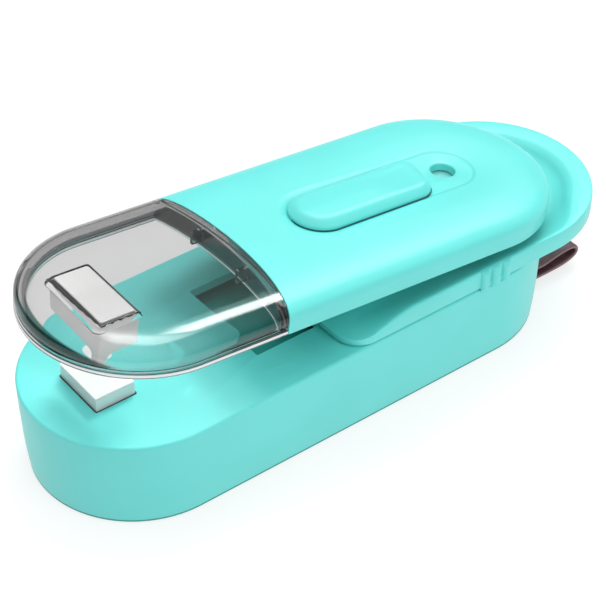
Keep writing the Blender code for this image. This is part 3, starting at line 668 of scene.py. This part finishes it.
def slide_ring(inset, height, further=0.0):
    """A ring of the tray: height is a share of the rim, which fades out towards the front.

    Round the rear end the rim is wider, so the rings inside it are further in.
    """
    end_x = SLIDE_X[1] - HALF
    ring = []
    for x, y in slide_outline(inset):
        if x > end_x:
            reach = math.hypot(x - end_x, y)
            share = (reach - further * smooth_step((x - end_x) / 14.0)) / reach
            x, y = end_x + (x - end_x) * share, y * share
        rim = (SLIDE_RIM - SLIDE_FLOOR) * smooth_step((x - SLIDE_X[0] - 0.5) / 15.0)
        ring.append((x, y, SLIDE_FLOOR + rim * height))
    return ring


RIB_X, RIB_PITCH, RIB_HALF = 30.8, 2.75, 1.05
RIB_PROUD = 22.78
RIB_Z = (19.0, 19.06, 19.2, 19.4, 19.6, 19.75, 19.8, 20.4, 21.0, 21.9, 22.4, 22.8, 23.1)
RIB_Z += (23.35, 23.55, 23.65, 23.7)
SKIRT_TOP = 19.78


def grip_rib(x, side):
    """A soft upright bump on the tray's side, with a skirt that hangs past its bottom edge."""
    rows = []
    for z in RIB_Z:
        swell = math.sqrt(1 - (1 - min((RIB_Z[-1] - z) / 1.3, (z - RIB_Z[0]) / 0.6, 1.0)) ** 2)
        back, front = (22.15, 22.2) if z < SKIRT_TOP else (21.2, 21.95)
        row = []
        for k in range(17):
            a = math.pi * k / 16
            reach = front + (RIB_PROUD - front) * swell * math.sin(a) ** 1.15
            row.append((x - side * RIB_HALF * math.cos(a), side * reach, z))
        row += [(x + side * RIB_HALF, side * back, z), (x - side * RIB_HALF, side * back, z)]
        rows.append(row)
    return loft("grip_rib", rows)


def lock_slide():
    rows = []
    for inset, lift in ((0.3, 0.0), (0.08, 0.08), (0.0, 0.3)):
        rows.append([(x, y, SLIDE_BOTTOM + lift) for x, y in slide_outline(inset)])
    lip = ((0.0, 0.80), (0.03, 0.88), (0.1, 0.945), (0.22, 0.985), (0.4, 1.0))
    slope = ((0.65, 0.99, 3.2), (0.9, 0.965, 3.25), (1.35, 0.895, 3.2), (1.9, 0.80, 3.1))
    slope += ((2.7, 0.655, 2.8), (3.6, 0.50, 2.3), (4.4, 0.37, 1.9), (5.2, 0.25, 1.6))
    slope += ((5.9, 0.155, 1.4), (6.6, 0.075, 1.2), (7.2, 0.025, 1.0), (7.8, 0.0, 0.8))
    rows += [slide_ring(*step) for step in lip + slope]
    tray = loft("lock_slide_skin", rows, "turquoise")
    pieces = [box("runner", (RUNNER_LOW.x, RUNNER_HIGH.x), (-10.8, 10.8), (17.5, 20.4))]
    for side in (1, -1):
        stem_y, head_y = sorted((side * 9.5, side * 11.5)), sorted((side * 8.5, side * 12.5))
        pieces.append(box("hook_stem", (5.8, 8.2), stem_y, (20.6, 27.1)))
        pieces.append(box("hook_head", (5.4, 8.6), head_y, (26.95, 28.0)))
        pieces += [grip_rib(RIB_X + RIB_PITCH * i, side) for i in range(3)]
        backing_y = sorted((side * 21.93, side * 22.12))
        pieces.append(box("rib_backing", (30.0, 37.1), backing_y, (19.3, 20.6)))
    join(tray, *pieces)
    carve(tray, box("post_slot", (42.0, 48.9 + SLIDE_TRAVEL), (-4.8, 4.8), (18, 24)))
    finish_piece(tray, "slide", "turquoise", "lock_slide")


# ---------------------------------------------------------------- arm


def seam(y, shift=0.0):
    return SEAM_X - SEAM_BOW * (y / ARM_HALF) ** 2 + shift


def crown_path(start, half, foot, top, flat_steps):
    """(inset, z) points over a crown from its foot at inset start to its middle line."""
    wide, tall = CROWN_POWERS
    shares = []
    for i in range(1, 27):
        turn = math.pi / 2 * (i / 26) ** 1.15 * 0.86
        share = math.cos(turn) ** (2 / wide)
        if share < 0.84:
            break
        shares.append((share, math.sin(turn) ** (2 / tall)))
    path = [(start + half * (1 - share), foot + (top - foot) * rise) for share, rise in shares]
    last = (path[-1][0] - start) / half
    narrow = 1 - 0.3 / half
    for i in range(1, flat_steps + 1):
        along = last + (narrow - last) * i / flat_steps
        rise = (1 - (1 - along) ** wide) ** (1 / tall)
        path.append((start + half * along, foot + (top - foot) * rise))
    return path


def dish(x, y):
    """How far the arm's top sinks round the thumb slider's track."""
    along = (x - 37.0) / (16.0 if x > 37.0 else 36.0)
    across = y / 12.5
    return 0.74 * smooth_step(1.05 - math.sqrt(along * along + across * across))


def half_skin(name, front, ceiling, finish):
    """The front or rear part of the arm's skin, cut at the seam, with its full thickness."""
    centre = ARM_X[0] + ARM_HALF if front else ARM_X[1] - ARM_HALF
    outer = fillet(0.25, 0.25, 0.25, -90, 0, 5) + [(0.0, 0.8), (0.0, 1.3)]
    if front:
        outer += [(0.24, 1.38), (0.3, 1.5), (0.27, 1.7), (0.12, 2.2)]
    outer += [(0.0, ARM_WALL_HEIGHT)]
    outer += crown_path(0.0, ARM_HALF, ARM_WALL_HEIGHT, ARM_HEIGHT, 34)
    foot = 1.5
    inner = [(ARM_SKIN - 0.2, 0.0), (ARM_SKIN - 0.08, 0.04), (ARM_SKIN - 0.02, 0.12)]
    inner += [(ARM_SKIN, z) for z in (0.4, 0.8, 1.2, foot)]
    spare = len(outer) - len(inner)
    inner += crown_path(ARM_SKIN, ARM_HALF - ARM_SKIN, foot, ceiling, spare)[:spare]
    inner[-1] = (ARM_HALF - 0.3, ceiling)
    straight, round_steps = (26, 72) if front else (58, 72)

    def ring(inset, z, lowered):
        h = ARM_HALF - inset
        start = seam(h, -0.2 if front else 0.0)
        side = [start + (centre - start) * i / straight for i in range(straight)]
        outward = -1 if front else 1
        row = [(x, -h) for x in side]
        for i in range(round_steps):
            a = math.pi * (i + 0.5) / round_steps
            row.append((centre + outward * h * math.sin(a), -h * math.cos(a)))
        row += [(x, h) for x in reversed(side)]
        return [(x, y, z - dish(x, y) if lowered else z) for x, y in row]

    over = [ring(inset, z, not front and z > ARM_WALL_HEIGHT) for inset, z in outer]
    under = [ring(inset, z, False) for inset, z in inner]
    count, layers = len(over[0]), len(over)

    def quad(corners):
        """A face through points given as (row, place in the row)."""
        return tuple(row * count + i for row, i in corners)

    faces = []
    for first in (0, layers):
        last = first + layers - 1
        for r in range(first, last):
            for i in range(count - 1):
                faces.append(quad(((r, i), (r, i + 1), (r + 1, i + 1), (r + 1, i))))
        for i in range(count // 2 - 1):
            across = ((last, i), (last, i + 1), (last, count - 2 - i), (last, count - 1 - i))
            faces.append(quad(across))
    for i in range(count - 1):
        faces.append(quad(((0, i), (0, i + 1), (layers, i + 1), (layers, i))))
    for end in (0, count - 1):
        for r in range(layers - 1):
            cut = ((r, end), (r + 1, end), (layers + r + 1, end), (layers + r, end))
            faces.append(quad(cut))
    top, below = layers - 1, 2 * layers - 1
    faces.append(quad(((top, 0), (top, count - 1), (below, count - 1), (below, 0))))
    points = [p for row in over + under for p in row]
    return solid(name, points, faces, finish, ARM, 40)


def arm_shell():
    shell = half_skin("arm_shell_skin", False, SHELL_CEILING, "turquoise")
    half = THUMB_HIGH.y + 0.12
    flare = ((0.35, 0.0), (0.12, 0.03), (-0.03, 0.11), (-0.25, 0.24), (-0.6, 0.42))
    flare += ((-1.1, 0.62), (-1.9, 0.85), (-3.0, 1.2))
    path = [(inset, TRACK_FLOOR + rise) for inset, rise in flare]
    track_x = (THUMB_LOW.x - 0.12, TRACK_END)
    track = loft("thumb_track", rings(track_x, half, (half, half), path, 32), space=ARM)
    slot = box("thumb_slot", (6.0, 18.8 + THUMB_TRAVEL), (-2.1, 2.1), (4, 7), space=ARM)
    collar = LENS_HOLE + 0.8
    join(shell, turned("lens_collar", LENS_X, 0, ((collar, 3.95), (collar, 5.0)), space=ARM))
    lip = 0.35
    hole = [(LENS_HOLE, 3.0), (LENS_HOLE, TRACK_FLOOR - lip)]
    for a in (0.4, 0.8, 1.2):
        hole.append((LENS_HOLE + lip * (1 - math.cos(a)), TRACK_FLOOR - lip + lip * math.sin(a)))
    hole += [(LENS_HOLE + lip, TRACK_FLOOR + 0.02), (LENS_HOLE + lip, 7.0)]
    carve(shell, track, slot, turned("lens_hole", LENS_X, 0, hole, space=ARM))
    finish_piece(shell, "arm", "turquoise", "arm_shell")


# The pocket over the silver block: how far it reaches past the block at the front and near
# side, and at the rear and far side, and at what height.
POCKET = (
    (1.5, -0.42, 3.5),
    (1.5, -0.42, 4.9),
    (1.4, -0.42, 4.98),
    (1.2, -0.43, 5.15),
    (0.95, -0.44, 5.32),
    (0.7, -0.45, 5.45),
    (0.4, -0.46, 5.55),
    (0.1, -0.5, PRESS_HIGH.z + 0.47),
    (-0.2, -0.6, PRESS_HIGH.z + 0.47),
)


def clear_head():
    """The clear half of the arm, with its rear wall, two webs and a pocket for the block."""
    head = half_skin("clear_head_skin", True, HEAD_CEILING, "clear")
    half, thick, count = 20.4, 1.4, 48
    ys = [half * (2 * i / count - 1) for i in range(count + 1)]
    rear = [(seam(y, -0.3), y) for y in ys]
    front = [(x - thick, y) for x, y in reversed(rear)]
    rows = []
    for inset, z in ((0.12, 0.3), (0.03, 0.4), (0.0, 0.6), (0.0, 5.0)):
        row = [(x - inset, y, z) for x, y in rear]
        rows.append(row + [(x + inset, y, z) for x, y in front])
    join(head, loft("head_rear_wall", rows, space=ARM))
    for y in (7.2, -7.2):
        end = seam(y) - thick
        web_x, web_y = (end - 2.8, end + 0.4), (y - 0.35, y + 0.35)
        join(head, box("head_web", web_x, web_y, (2.2, 5.3), space=ARM))
    rows = []
    for near, far, z in POCKET:
        x = (PRESS_LOW.x - near, PRESS_HIGH.x + far)
        row = outline(x, PRESS_HIGH.y + (near + far) / 2, (1.6, 0.6), 0.0, 8)
        rows.append([(px, py + (far - near) / 2, z) for px, py in row])
    carve(head, loft("press_pocket", rows, space=ARM))
    finish_piece(head, "arm", "clear", "clear_head")


# ---------------------------------------------------------------- thumb slider


CORNER_STEPS = 20


def thumb_slider():
    """The slider, with a shallow place for the thumb and a slanted rear end, and a dark strip of
    painted shade in the gap round its near side.
    """
    x, half, top = (THUMB_LOW.x, THUMB_HIGH.x), THUMB_HIGH.y, THUMB_HIGH.z
    path = [(0.2, 5.72), (0.05, 5.78), (0.0, 5.9), (0.0, 6.5), (0.08, 6.62), (0.45, 7.05)]
    path += [(0.85, 7.45), (1.15, 7.7), (1.5, 7.89), (1.9, 8.0), (2.4, top)]
    last = path[-1][0]
    path += [(last + (half - 0.1 - last) * i / 14, top) for i in range(1, 15)]

    def edge(inset):
        """The slider's outline, whose rear end runs back further on the far side."""
        found = []
        shape = outline(x, half, (half, 3.2), inset, CORNER_STEPS)
        for px, py in divided(shape, (x[1] - x[0]) / 2, 24):
            slant = 2.6 * smooth_step((px - 16.0) / 14.0)
            found.append((px - slant * (half - py) / (2 * half), py))
        return found

    def sink(px, py, z):
        """How far the top dips for the thumb, and falls towards the far side."""
        along, across = (px - (x[1] - 6.5)) / 8.5, (py - 1.0) / (half - 0.5)
        hollow = 0.5 * smooth_step(1.15 - math.sqrt(along * along + across * across))
        fall = 0.42 * max(z - 6.5, 0.0) * smooth_step((py + 1.5) / (half + 1.0))
        return (hollow if z > top - 0.6 else 0.0) + fall

    rows = [[(px, py, z - sink(px, py, z)) for px, py in edge(inset)] for inset, z in path]
    paired = 2 * CORNER_STEPS + 1
    slider = loft("thumb_slider_skin", rows, "turquoise", ARM, paired=paired)
    join(slider, box("slider_stem", (6.6, 18.2), (-1.7, 1.7), (4.45, 6.2), space=ARM))
    finish_piece(slider, "thumb", "turquoise", "thumb_slider")
    slider_gap_shade(edge(0.0))


def slider_gap_shade(edge):
    """A dark strip of painted shade in the gap round the slider's near side."""
    near = [point for point in edge[-7:] + edge[:-7] if point[1] < 1.0]
    first = max(range(len(near)), key=lambda i: math.dist(near[i - 1], near[i]))
    near = near[first:] + near[:first]
    last = len(near) - 1
    rows = []
    for i, (px, py) in enumerate(near):
        before, after = Vector(near[max(i - 1, 0)]), Vector(near[min(i + 1, last)])
        out = (after - before).normalized()
        wide = 0.2 * smooth_step(min(i, last - i) / 6) + 0.01
        cut = ((-0.1, 5.75), (wide, 5.75), (wide, 5.96), (-0.1, 6.04))
        rows.append([(px + out.y * reach, py - out.x * reach, z) for reach, z in cut])
    finish_piece(loft("slider_gap_shade", rows, "gap_shade", ARM), "thumb", "black_plastic")


# ---------------------------------------------------------------- jaws


def press_block():
    """A bright block with rounded corners and a dotted plate on it, with a crumpled dark band of
    painted shade under the plate's edge.
    """
    x, half, top = (PRESS_LOW.x, PRESS_HIGH.x), PRESS_HIGH.y, PLATE_TOP
    middle, shoulder = (x[0] + x[1]) / 2, top - 0.7
    path = [(0.3, PRESS_LOW.z), (0.11, PRESS_LOW.z + 0.06), (0.05, PRESS_LOW.z + 0.25)]
    path += [(0.05, shoulder - 0.1), (0.15, shoulder), (1.2, shoulder)]
    block = loft("press_block_body", rings(x, half, (0.9, 0.9), path, 8), "satin", ARM, 50)
    finish_piece(block, "arm", "steel", "press_block")

    def bulge(px, py):
        """How far the dark band of painted shade swells out from under the plate, which differs
        round the block.
        """
        if py > half - 1.0 or px > x[1] - 0.9:
            return 0.0
        if px < x[0] + 0.9:
            return 0.3 + 0.75 * smooth_step((py + half + 1.0) / 13) + 0.08 * math.sin(2.9 * py)
        return 0.7 + 0.2 * math.sin(4.1 * px + 1.0) + 0.14 * math.sin(9.3 * px)

    edge = divided(outline(x, half, (0.9, 0.9), 0.75, 8), 2.4, 60)
    rows = []
    for drop, out in ((0.34, 0.0), (0.34, 0.35), (0.42, 0.8), (0.62, 1.0), (0.78, 1.0)):
        row = []
        for px, py in edge:
            swell = bulge(px, py) * out
            grow = 1 + swell / max(abs(px - middle), 3.6)
            row.append((middle + (px - middle) * grow, py * (1 + swell / half), top - drop))
        rows.append(row)
    finish_piece(loft("press_gap_shade", rows, "rubber", ARM), "arm", "black_plastic")
    path = [(0.9, top - 0.34), (0.78, top - 0.3), (0.75, top - 0.2)]
    path += fillet(0.95, top - 0.2, 0.2, 0, 90, 5)
    plate = loft("press_plate", rings(x, half, (1.2, 1.2), path, 8), "perforated", ARM, 50)
    finish_piece(plate, "arm", "steel", "mesh_screen")


def well_gap_shade():
    """A thin dark ring of painted shade in the gap between the heater block and its well in the
    deck.
    """
    top = BASE_HEIGHT - 0.02
    cut = ((-0.06, top - 0.5), (-0.28, top - 0.5), (-0.28, top), (-0.06, top))
    rows = rings((BLOCK_LOW.x, BLOCK_HIGH.x), BLOCK_HIGH.y, (0.3, 0.3), cut, 4)
    finish_piece(tube("well_gap_shade", rows, "black_plastic"), "base", "black_plastic")


# ---------------------------------------------------------------- strap


def strap_loop():
    """A leather band round its pin that bellies out to a soft rounded tip."""
    high = extent("strap_loop")[1]
    pin = Vector(JOINTS["strap_swing"]["pos_m"]) / MM
    thick = 0.9
    turn = 0.8 + 0.15 + thick / 2
    line = []
    for degrees in range(270, 60, -30):
        a = math.radians(degrees)
        line.append((pin.x + turn * math.cos(a), pin.z + turn * math.sin(a)))
    line += [(55.0, 4.2), (57.2, 3.62), (59.4, 3.5), (61.6, 3.9), (63.8, 4.3), (65.8, 4.5)]
    line += [(67.4, 4.45), (68.4, 4.1), (high.x - thick / 2, 3.35), (68.75, 2.55)]
    line += [(67.9, 1.85), (66.4, 1.35), (64.4, 1.05), (61.8, 0.95), (59.0, 0.95), (56.4, 1.1)]
    line = smoothed(line, 5)
    rows = []
    for i, (x, z) in enumerate(line):
        along = (Vector(line[(i + 1) % len(line)]) - Vector(line[i - 1])).normalized()
        section = band_section(high.y, thick)
        rows.append([(x - along.y * shift, y, z + along.x * shift) for y, shift in section])
    strap = tube("strap_band", rows, "leather", sharp=60)
    finish_piece(strap, "strap", "leather", "strap_loop")


def band_section(half, thick):
    """A band's cut: flat faces with a pressed line near each rounded edge."""
    edge = thick / 2
    top = []
    for share in (-1.0, -0.93, -0.9, -0.87, -0.8, -0.4, 0.0, 0.4, 0.8, 0.87, 0.9, 0.93, 1.0):
        dip = 0.1 if abs(abs(share) - 0.9) < 0.01 else 0.0
        top.append((share * (half - edge), edge - dip))
    for a in (0.5, 1.05, 1.57, 2.09, 2.64):
        top.append((half - edge + edge * math.sin(a), edge * math.cos(a)))
    return top + [(-y, -z) for y, z in top]


def smoothed(points, steps):
    """A closed Catmull-Rom curve through points."""
    found = []
    count = len(points)
    for i in range(count):
        a, b, c, d = (Vector(points[(i + k) % count]) for k in (-1, 0, 1, 2))
        square, cube = 2 * a - 5 * b + 4 * c - d, 3 * b - a - 3 * c + d
        for t in (k / steps for k in range(steps)):
            found.append(tuple(0.5 * (2 * b + (c - a) * t + square * t * t + cube * t**3)))
    return found


# ---------------------------------------------------------------- screws and other small parts


# (node, height of its head, radius of its shank)
SCREWS = [(f"cover_screw_{i}", 0.55, 0.8) for i in range(1, 5)]
SCREWS += [(f"arm_screw_{i}", 0.45, 0.8) for i in range(1, 5)]
SCREWS += [(f"{part}_screw_{i}", 0.9, 0.75) for part in ("bracket", "retainer") for i in (1, 2)]
SCREWS += [("slider_screw", 0.6, 0.8)]
THREAD_PITCH = 0.5


def screw(node, height, shank):
    """A screw in place of a CAD one, with a domed cross-head and a thread on its shank."""
    body = frame["nodes"][node]["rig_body"]
    space = ARM if body in ("arm", "thumb") else ROW
    low, high = extent(node, space)
    radius = (high.x - low.x) / 2
    x, y = (low.x + high.x) / 2, (low.y + high.y) / 2
    base, top = low.z, high.z
    under = base + height
    dome = ((0.55, 0.0), (0.8, 0.12), (0.95, 0.4), (1.0, 0.7), (0.98, 1.0))
    path = [(radius * wide, base + height * up) for wide, up in dome] + [(shank, under + 0.02)]
    for i in range(int((top - 0.8 - under) / THREAD_PITCH)):
        z = under + 0.1 + i * THREAD_PITCH
        path += [(shank * 0.82, z), (shank, z + THREAD_PITCH * 0.45)]
        path += [(shank, z + THREAD_PITCH * 0.55)]
    path += [(shank * 0.75, top - 0.6), (shank * 0.2, top)]
    made = turned(node + "_fine", x, y, path, "screw_steel", space, 40, 32)
    reach, arm = radius * 0.6, 0.2
    corners = []
    for c, s in ((1, 0), (0, 1), (-1, 0), (0, -1)):
        for px, py in ((reach, -arm), (reach, arm), (arm, arm)):
            corners.append((px * c - py * s, px * s + py * c))
    rows = []
    for share, up in ((1.0, base - 0.5), (0.9, base + height * 0.2), (0.45, base + height * 0.55)):
        rows.append([(x + px * share, y + py * share, up) for px, py in corners])
    carve(made, loft("cross", rows, space=space))
    finish_piece(made, body, "screw_steel", node)


# (node, width of its rounded edges, finish if it isn't its slot's)
SOFTENED = (
    ("heater_block", 0.15, "satin"),
    ("heater_film", 0.08),
    ("bottom_cover", 0.2),
    ("battery_door", 0.2),
    ("arm_bottom_plate", 0.2),
    ("hinge_bracket", 0.25),
    ("hinge_pin", 0.1),
    ("strap_pin", 0.15),
    # painted shade: the pan under the deck's slot takes the darkened turquoise
    ("slide_guide", 0.2, "turquoise_deep"),
    ("slide_retainer", 0.2),
    ("battery_tray", 0.2),
    ("silicone_pad", 0.15),
    ("heater_carrier", 0.15),
    ("battery_1", 0.25),
    ("battery_2", 0.25),
    ("capacitor", 0.3),
    ("control_chip", 0.12),
    ("circuit_board", 0.1),
    ("arm_board", 0.1),
    ("contact_bridge", 0.08),
    ("contact_negative", 0.08),
    ("contact_positive", 0.08),
    ("press_switch", 0.12),
    ("switch_button", 0.12),
    ("slide_switch", 0.12),
    ("switch_knob", 0.12),
    ("slider_clip", 0.1),
    ("indicator_led", 0.12),
    ("indicator_lens", 0.12),
)


def softened(node, width, finish=None):
    """A CAD node's own shape in its place, with rounded edges and flat faces."""
    source, slot = frame["nodes"][node], SLOTS[node]
    mesh = source.data.copy()
    mesh.materials.clear()
    mesh.materials.append(FINISHES[finish or slot])
    weld = bmesh.new()
    weld.from_mesh(mesh)
    bmesh.ops.remove_doubles(weld, verts=weld.verts, dist=0.005 * MM)
    flat = math.radians(1)
    bmesh.ops.dissolve_limit(weld, angle_limit=flat, verts=weld.verts, edges=weld.edges)
    pierced = [face for face in weld.faces if len(face.verts) > 12]
    bmesh.ops.triangulate(weld, faces=pierced, ngon_method="EAR_CLIP")
    weld.to_mesh(mesh)
    weld.free()
    if "custom_normal" in mesh.attributes:
        mesh.attributes.remove(mesh.attributes["custom_normal"])
    obj = bpy.data.objects.new(node + "_soft", mesh)
    bpy.context.scene.collection.objects.link(obj)
    bevel = obj.modifiers.new("edges", "BEVEL")
    bevel.width = width * MM
    bevel.segments = 3
    bevel.limit_method = "ANGLE"
    bevel.angle_limit = math.radians(40)
    bevel.miter_outer = "MITER_ARC"
    settle(obj, 50)
    obj.modifiers.new("flats", "WEIGHTED_NORMAL").keep_sharp = True
    settle(obj, None)
    return finish_piece(obj, source["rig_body"], slot, node)


def springs():
    """The coils under the heater block, which shortens them when it is pressed; here each is only
    softened, with a mesh of its own.
    """
    for node in ("heater_spring_1", "heater_spring_2"):
        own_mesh(softened(node, 0.03))


def paint_nodes():
    for node, obj in frame["nodes"].items():
        obj.data.materials.clear()
        obj.data.materials.append(FINISHES[SLOTS[node]])


# ---------------------------------------------------------------- studio


def floor():
    """A plain pale floor that glows a little, so that shadows on it stay faint.

    Seen through a second wall of clear plastic it is dark, as thick smoky walls would make it.
    """
    corners = [(-4, -4, 0), (4, -4, 0), (4, 4, 0), (-4, 4, 0)]
    mesh = bpy.data.meshes.new("floor")
    mesh.from_pydata(corners, [], [(0, 1, 2, 3)])
    obj = bpy.data.objects.new("floor", mesh)
    obj.location.z = -0.0002
    bpy.context.scene.collection.objects.link(obj)
    made = Finish("floor", (0.30, 0.30, 0.30), 0.9)
    made.shader.inputs["Emission Color"].default_value = (1.0, 1.0, 1.0, 1.0)
    passed = made.node("ShaderNodeLightPath").outputs["Transmission Depth"]
    lit = made.span(passed, 1.0, 0.0, 2.0, 4.0)
    dimmed = made.math("MULTIPLY", lit, made.span(passed, 1.0, 0.8, 0.0, 2.0))
    made.feed(made.shader.inputs["Emission Strength"], made.span(dimmed, 0.06, 0.72))
    pale = made.blend(made.noise(60.0), (0.29, 0.29, 0.29), (0.31, 0.31, 0.31))
    made.colour(made.blend(lit, (0.05, 0.05, 0.05), pale))
    mesh.materials.append(made.material)


CENTRE = (Vector(CAD_BOX[0]) + Vector(CAD_BOX[1])) / 2

# name: (direction, distance, size, power). None of them shows in reflections.
LAMPS = {
    "key": ((-0.10, 0.30, 0.95), 0.6, (0.5, 0.3), 0.82),
    "overhead": ((-0.10, -0.30, 0.95), 0.7, (0.5, 0.5), 0.92),
    "fill": ((0.20, -0.80, 0.45), 0.6, (0.5, 0.3), 0.82),
}


def lamp(name, direction, distance, size, power):
    """A soft box that faces the object from this direction."""
    light = bpy.data.lights.new(name, "AREA")
    light.shape = "RECTANGLE"
    light.size, light.size_y = size
    light.energy = power
    obj = bpy.data.objects.new(name, light)
    towards = Vector(direction).normalized()
    obj.location = CENTRE + towards * distance
    obj.rotation_mode = "QUATERNION"
    obj.rotation_quaternion = towards.to_track_quat("Z", "Y")
    obj.visible_glossy = obj.visible_transmission = False
    bpy.context.scene.collection.objects.link(obj)


WALLS = ((0.0, 0.06), (0.26, 0.10), (0.5, 0.40), (0.75, 0.62), (1.0, 0.85))  # (height, level)
THROUGH = 0.5  # the least brightness seen through clear plastic
# (azimuth, half its width, elevation, half its height, brightness), in degrees
WINDOWS = ((27.0, 19.0, 45.0, 4.5, 18.0), (43.0, 20.0, 57.0, 12.0, 6.5))


def sky():
    """Walls that are dark low down and bright overhead, with two soft-edged bright windows.

    Seen directly, all of it is plain white.
    """
    world = bpy.data.worlds.new("studio")
    world.use_nodes = True
    tree = Tree(world.node_tree)
    way = tree.node("ShaderNodeTexCoord").outputs["Generated"]
    split = tree.node("ShaderNodeSeparateXYZ", Vector=way)
    level = walls(tree, split)
    for place in WINDOWS:
        level = tree.math("ADD", level, window(tree, split, *place))
    path = tree.node("ShaderNodeLightPath")
    least = tree.math("MULTIPLY", path.outputs["Is Transmission Ray"], THROUGH)
    level = tree.math("MAXIMUM", level, least)
    seen = tree.node("ShaderNodeMix", {"data_type": "FLOAT"})
    for i, value in ((0, path.outputs["Is Camera Ray"]), (2, level), (3, 1.0)):
        tree.feed(seen.inputs[i], value)
    background = tree.nodes["Background"]
    tree.feed(background.inputs["Color"], seen.outputs[0])
    background.inputs["Strength"].default_value = 1.0
    bpy.context.scene.world = world


def walls(tree, split):
    ramp = tree.node("ShaderNodeValToRGB", Fac=split.outputs["Z"])
    steps = ramp.color_ramp.elements
    steps[0].position, steps[1].position = WALLS[0][0], WALLS[-1][0]
    for height, _ in WALLS[1:-1]:
        steps.new(height)
    for step, (_, level) in zip(steps, WALLS):
        step.color = (level, level, level, 1.0)
    return ramp.outputs["Color"]


def window(tree, split, azimuth, spread, elevation, height, level):
    x, y, z = (split.outputs[axis] for axis in "XYZ")
    across, rise = math.radians(azimuth), math.radians(elevation)
    along = tree.math("MULTIPLY", x, math.cos(across))
    along = tree.math("MULTIPLY_ADD", y, math.sin(across), along)
    flat = tree.math("SQRT", tree.math("SUBTRACT", 1.0001, tree.math("MULTIPLY", z, z)))
    aside = tree.math("SUBTRACT", 1.0, tree.math("DIVIDE", along, flat))
    off = tree.math("ABSOLUTE", tree.math("SUBTRACT", z, math.sin(rise)))
    side = 1 - math.cos(math.radians(spread))
    top = math.radians(height) * math.cos(rise)
    shape = tree.math(
        "MULTIPLY",
        tree.span(aside, 1.0, 0.0, side * 0.3, side, "SMOOTHSTEP"),
        tree.span(off, 1.0, 0.0, top * 0.35, top, "SMOOTHSTEP"),
    )
    return tree.math("MULTIPLY", shape, level)


CAMERA_AZIMUTH = -37.155
CAMERA_ELEVATION = 39.877
CAMERA_DISTANCE = 0.3844  # from the object's middle, in metres
CAMERA_LENS = 116.55
LOOK_LEFT = 0.0029
LOOK_BELOW = 0.00595


def camera():
    azimuth, elevation = math.radians(CAMERA_AZIMUTH), math.radians(CAMERA_ELEVATION)
    flat = math.cos(elevation)
    back = Vector((math.sin(azimuth) * flat, -math.cos(azimuth) * flat, math.sin(elevation)))
    right = Vector((math.cos(azimuth), math.sin(azimuth), 0.0))
    up = back.cross(right)
    data = bpy.data.cameras.new("camera")
    data.lens = CAMERA_LENS
    obj = bpy.data.objects.new("camera", data)
    turn = Matrix((right, up, back)).transposed()
    place = CENTRE + back * CAMERA_DISTANCE - right * LOOK_LEFT - up * LOOK_BELOW
    obj.matrix_world = Matrix.Translation(place) @ turn.to_4x4()
    bpy.context.scene.collection.objects.link(obj)
    bpy.context.scene.camera = obj


def main():
    paint_nodes()
    base_housing()
    lock_slide()
    arm_shell()
    clear_head()
    thumb_slider()
    press_block()
    well_gap_shade()
    strap_loop()
    for part in SCREWS:
        screw(*part)
    for part in SOFTENED:
        softened(*part)
    springs()
    floor()
    sky()
    for name, place in LAMPS.items():
        lamp(name, *place)
    camera()
    bpy.context.scene.view_settings.view_transform = "Standard"


main()
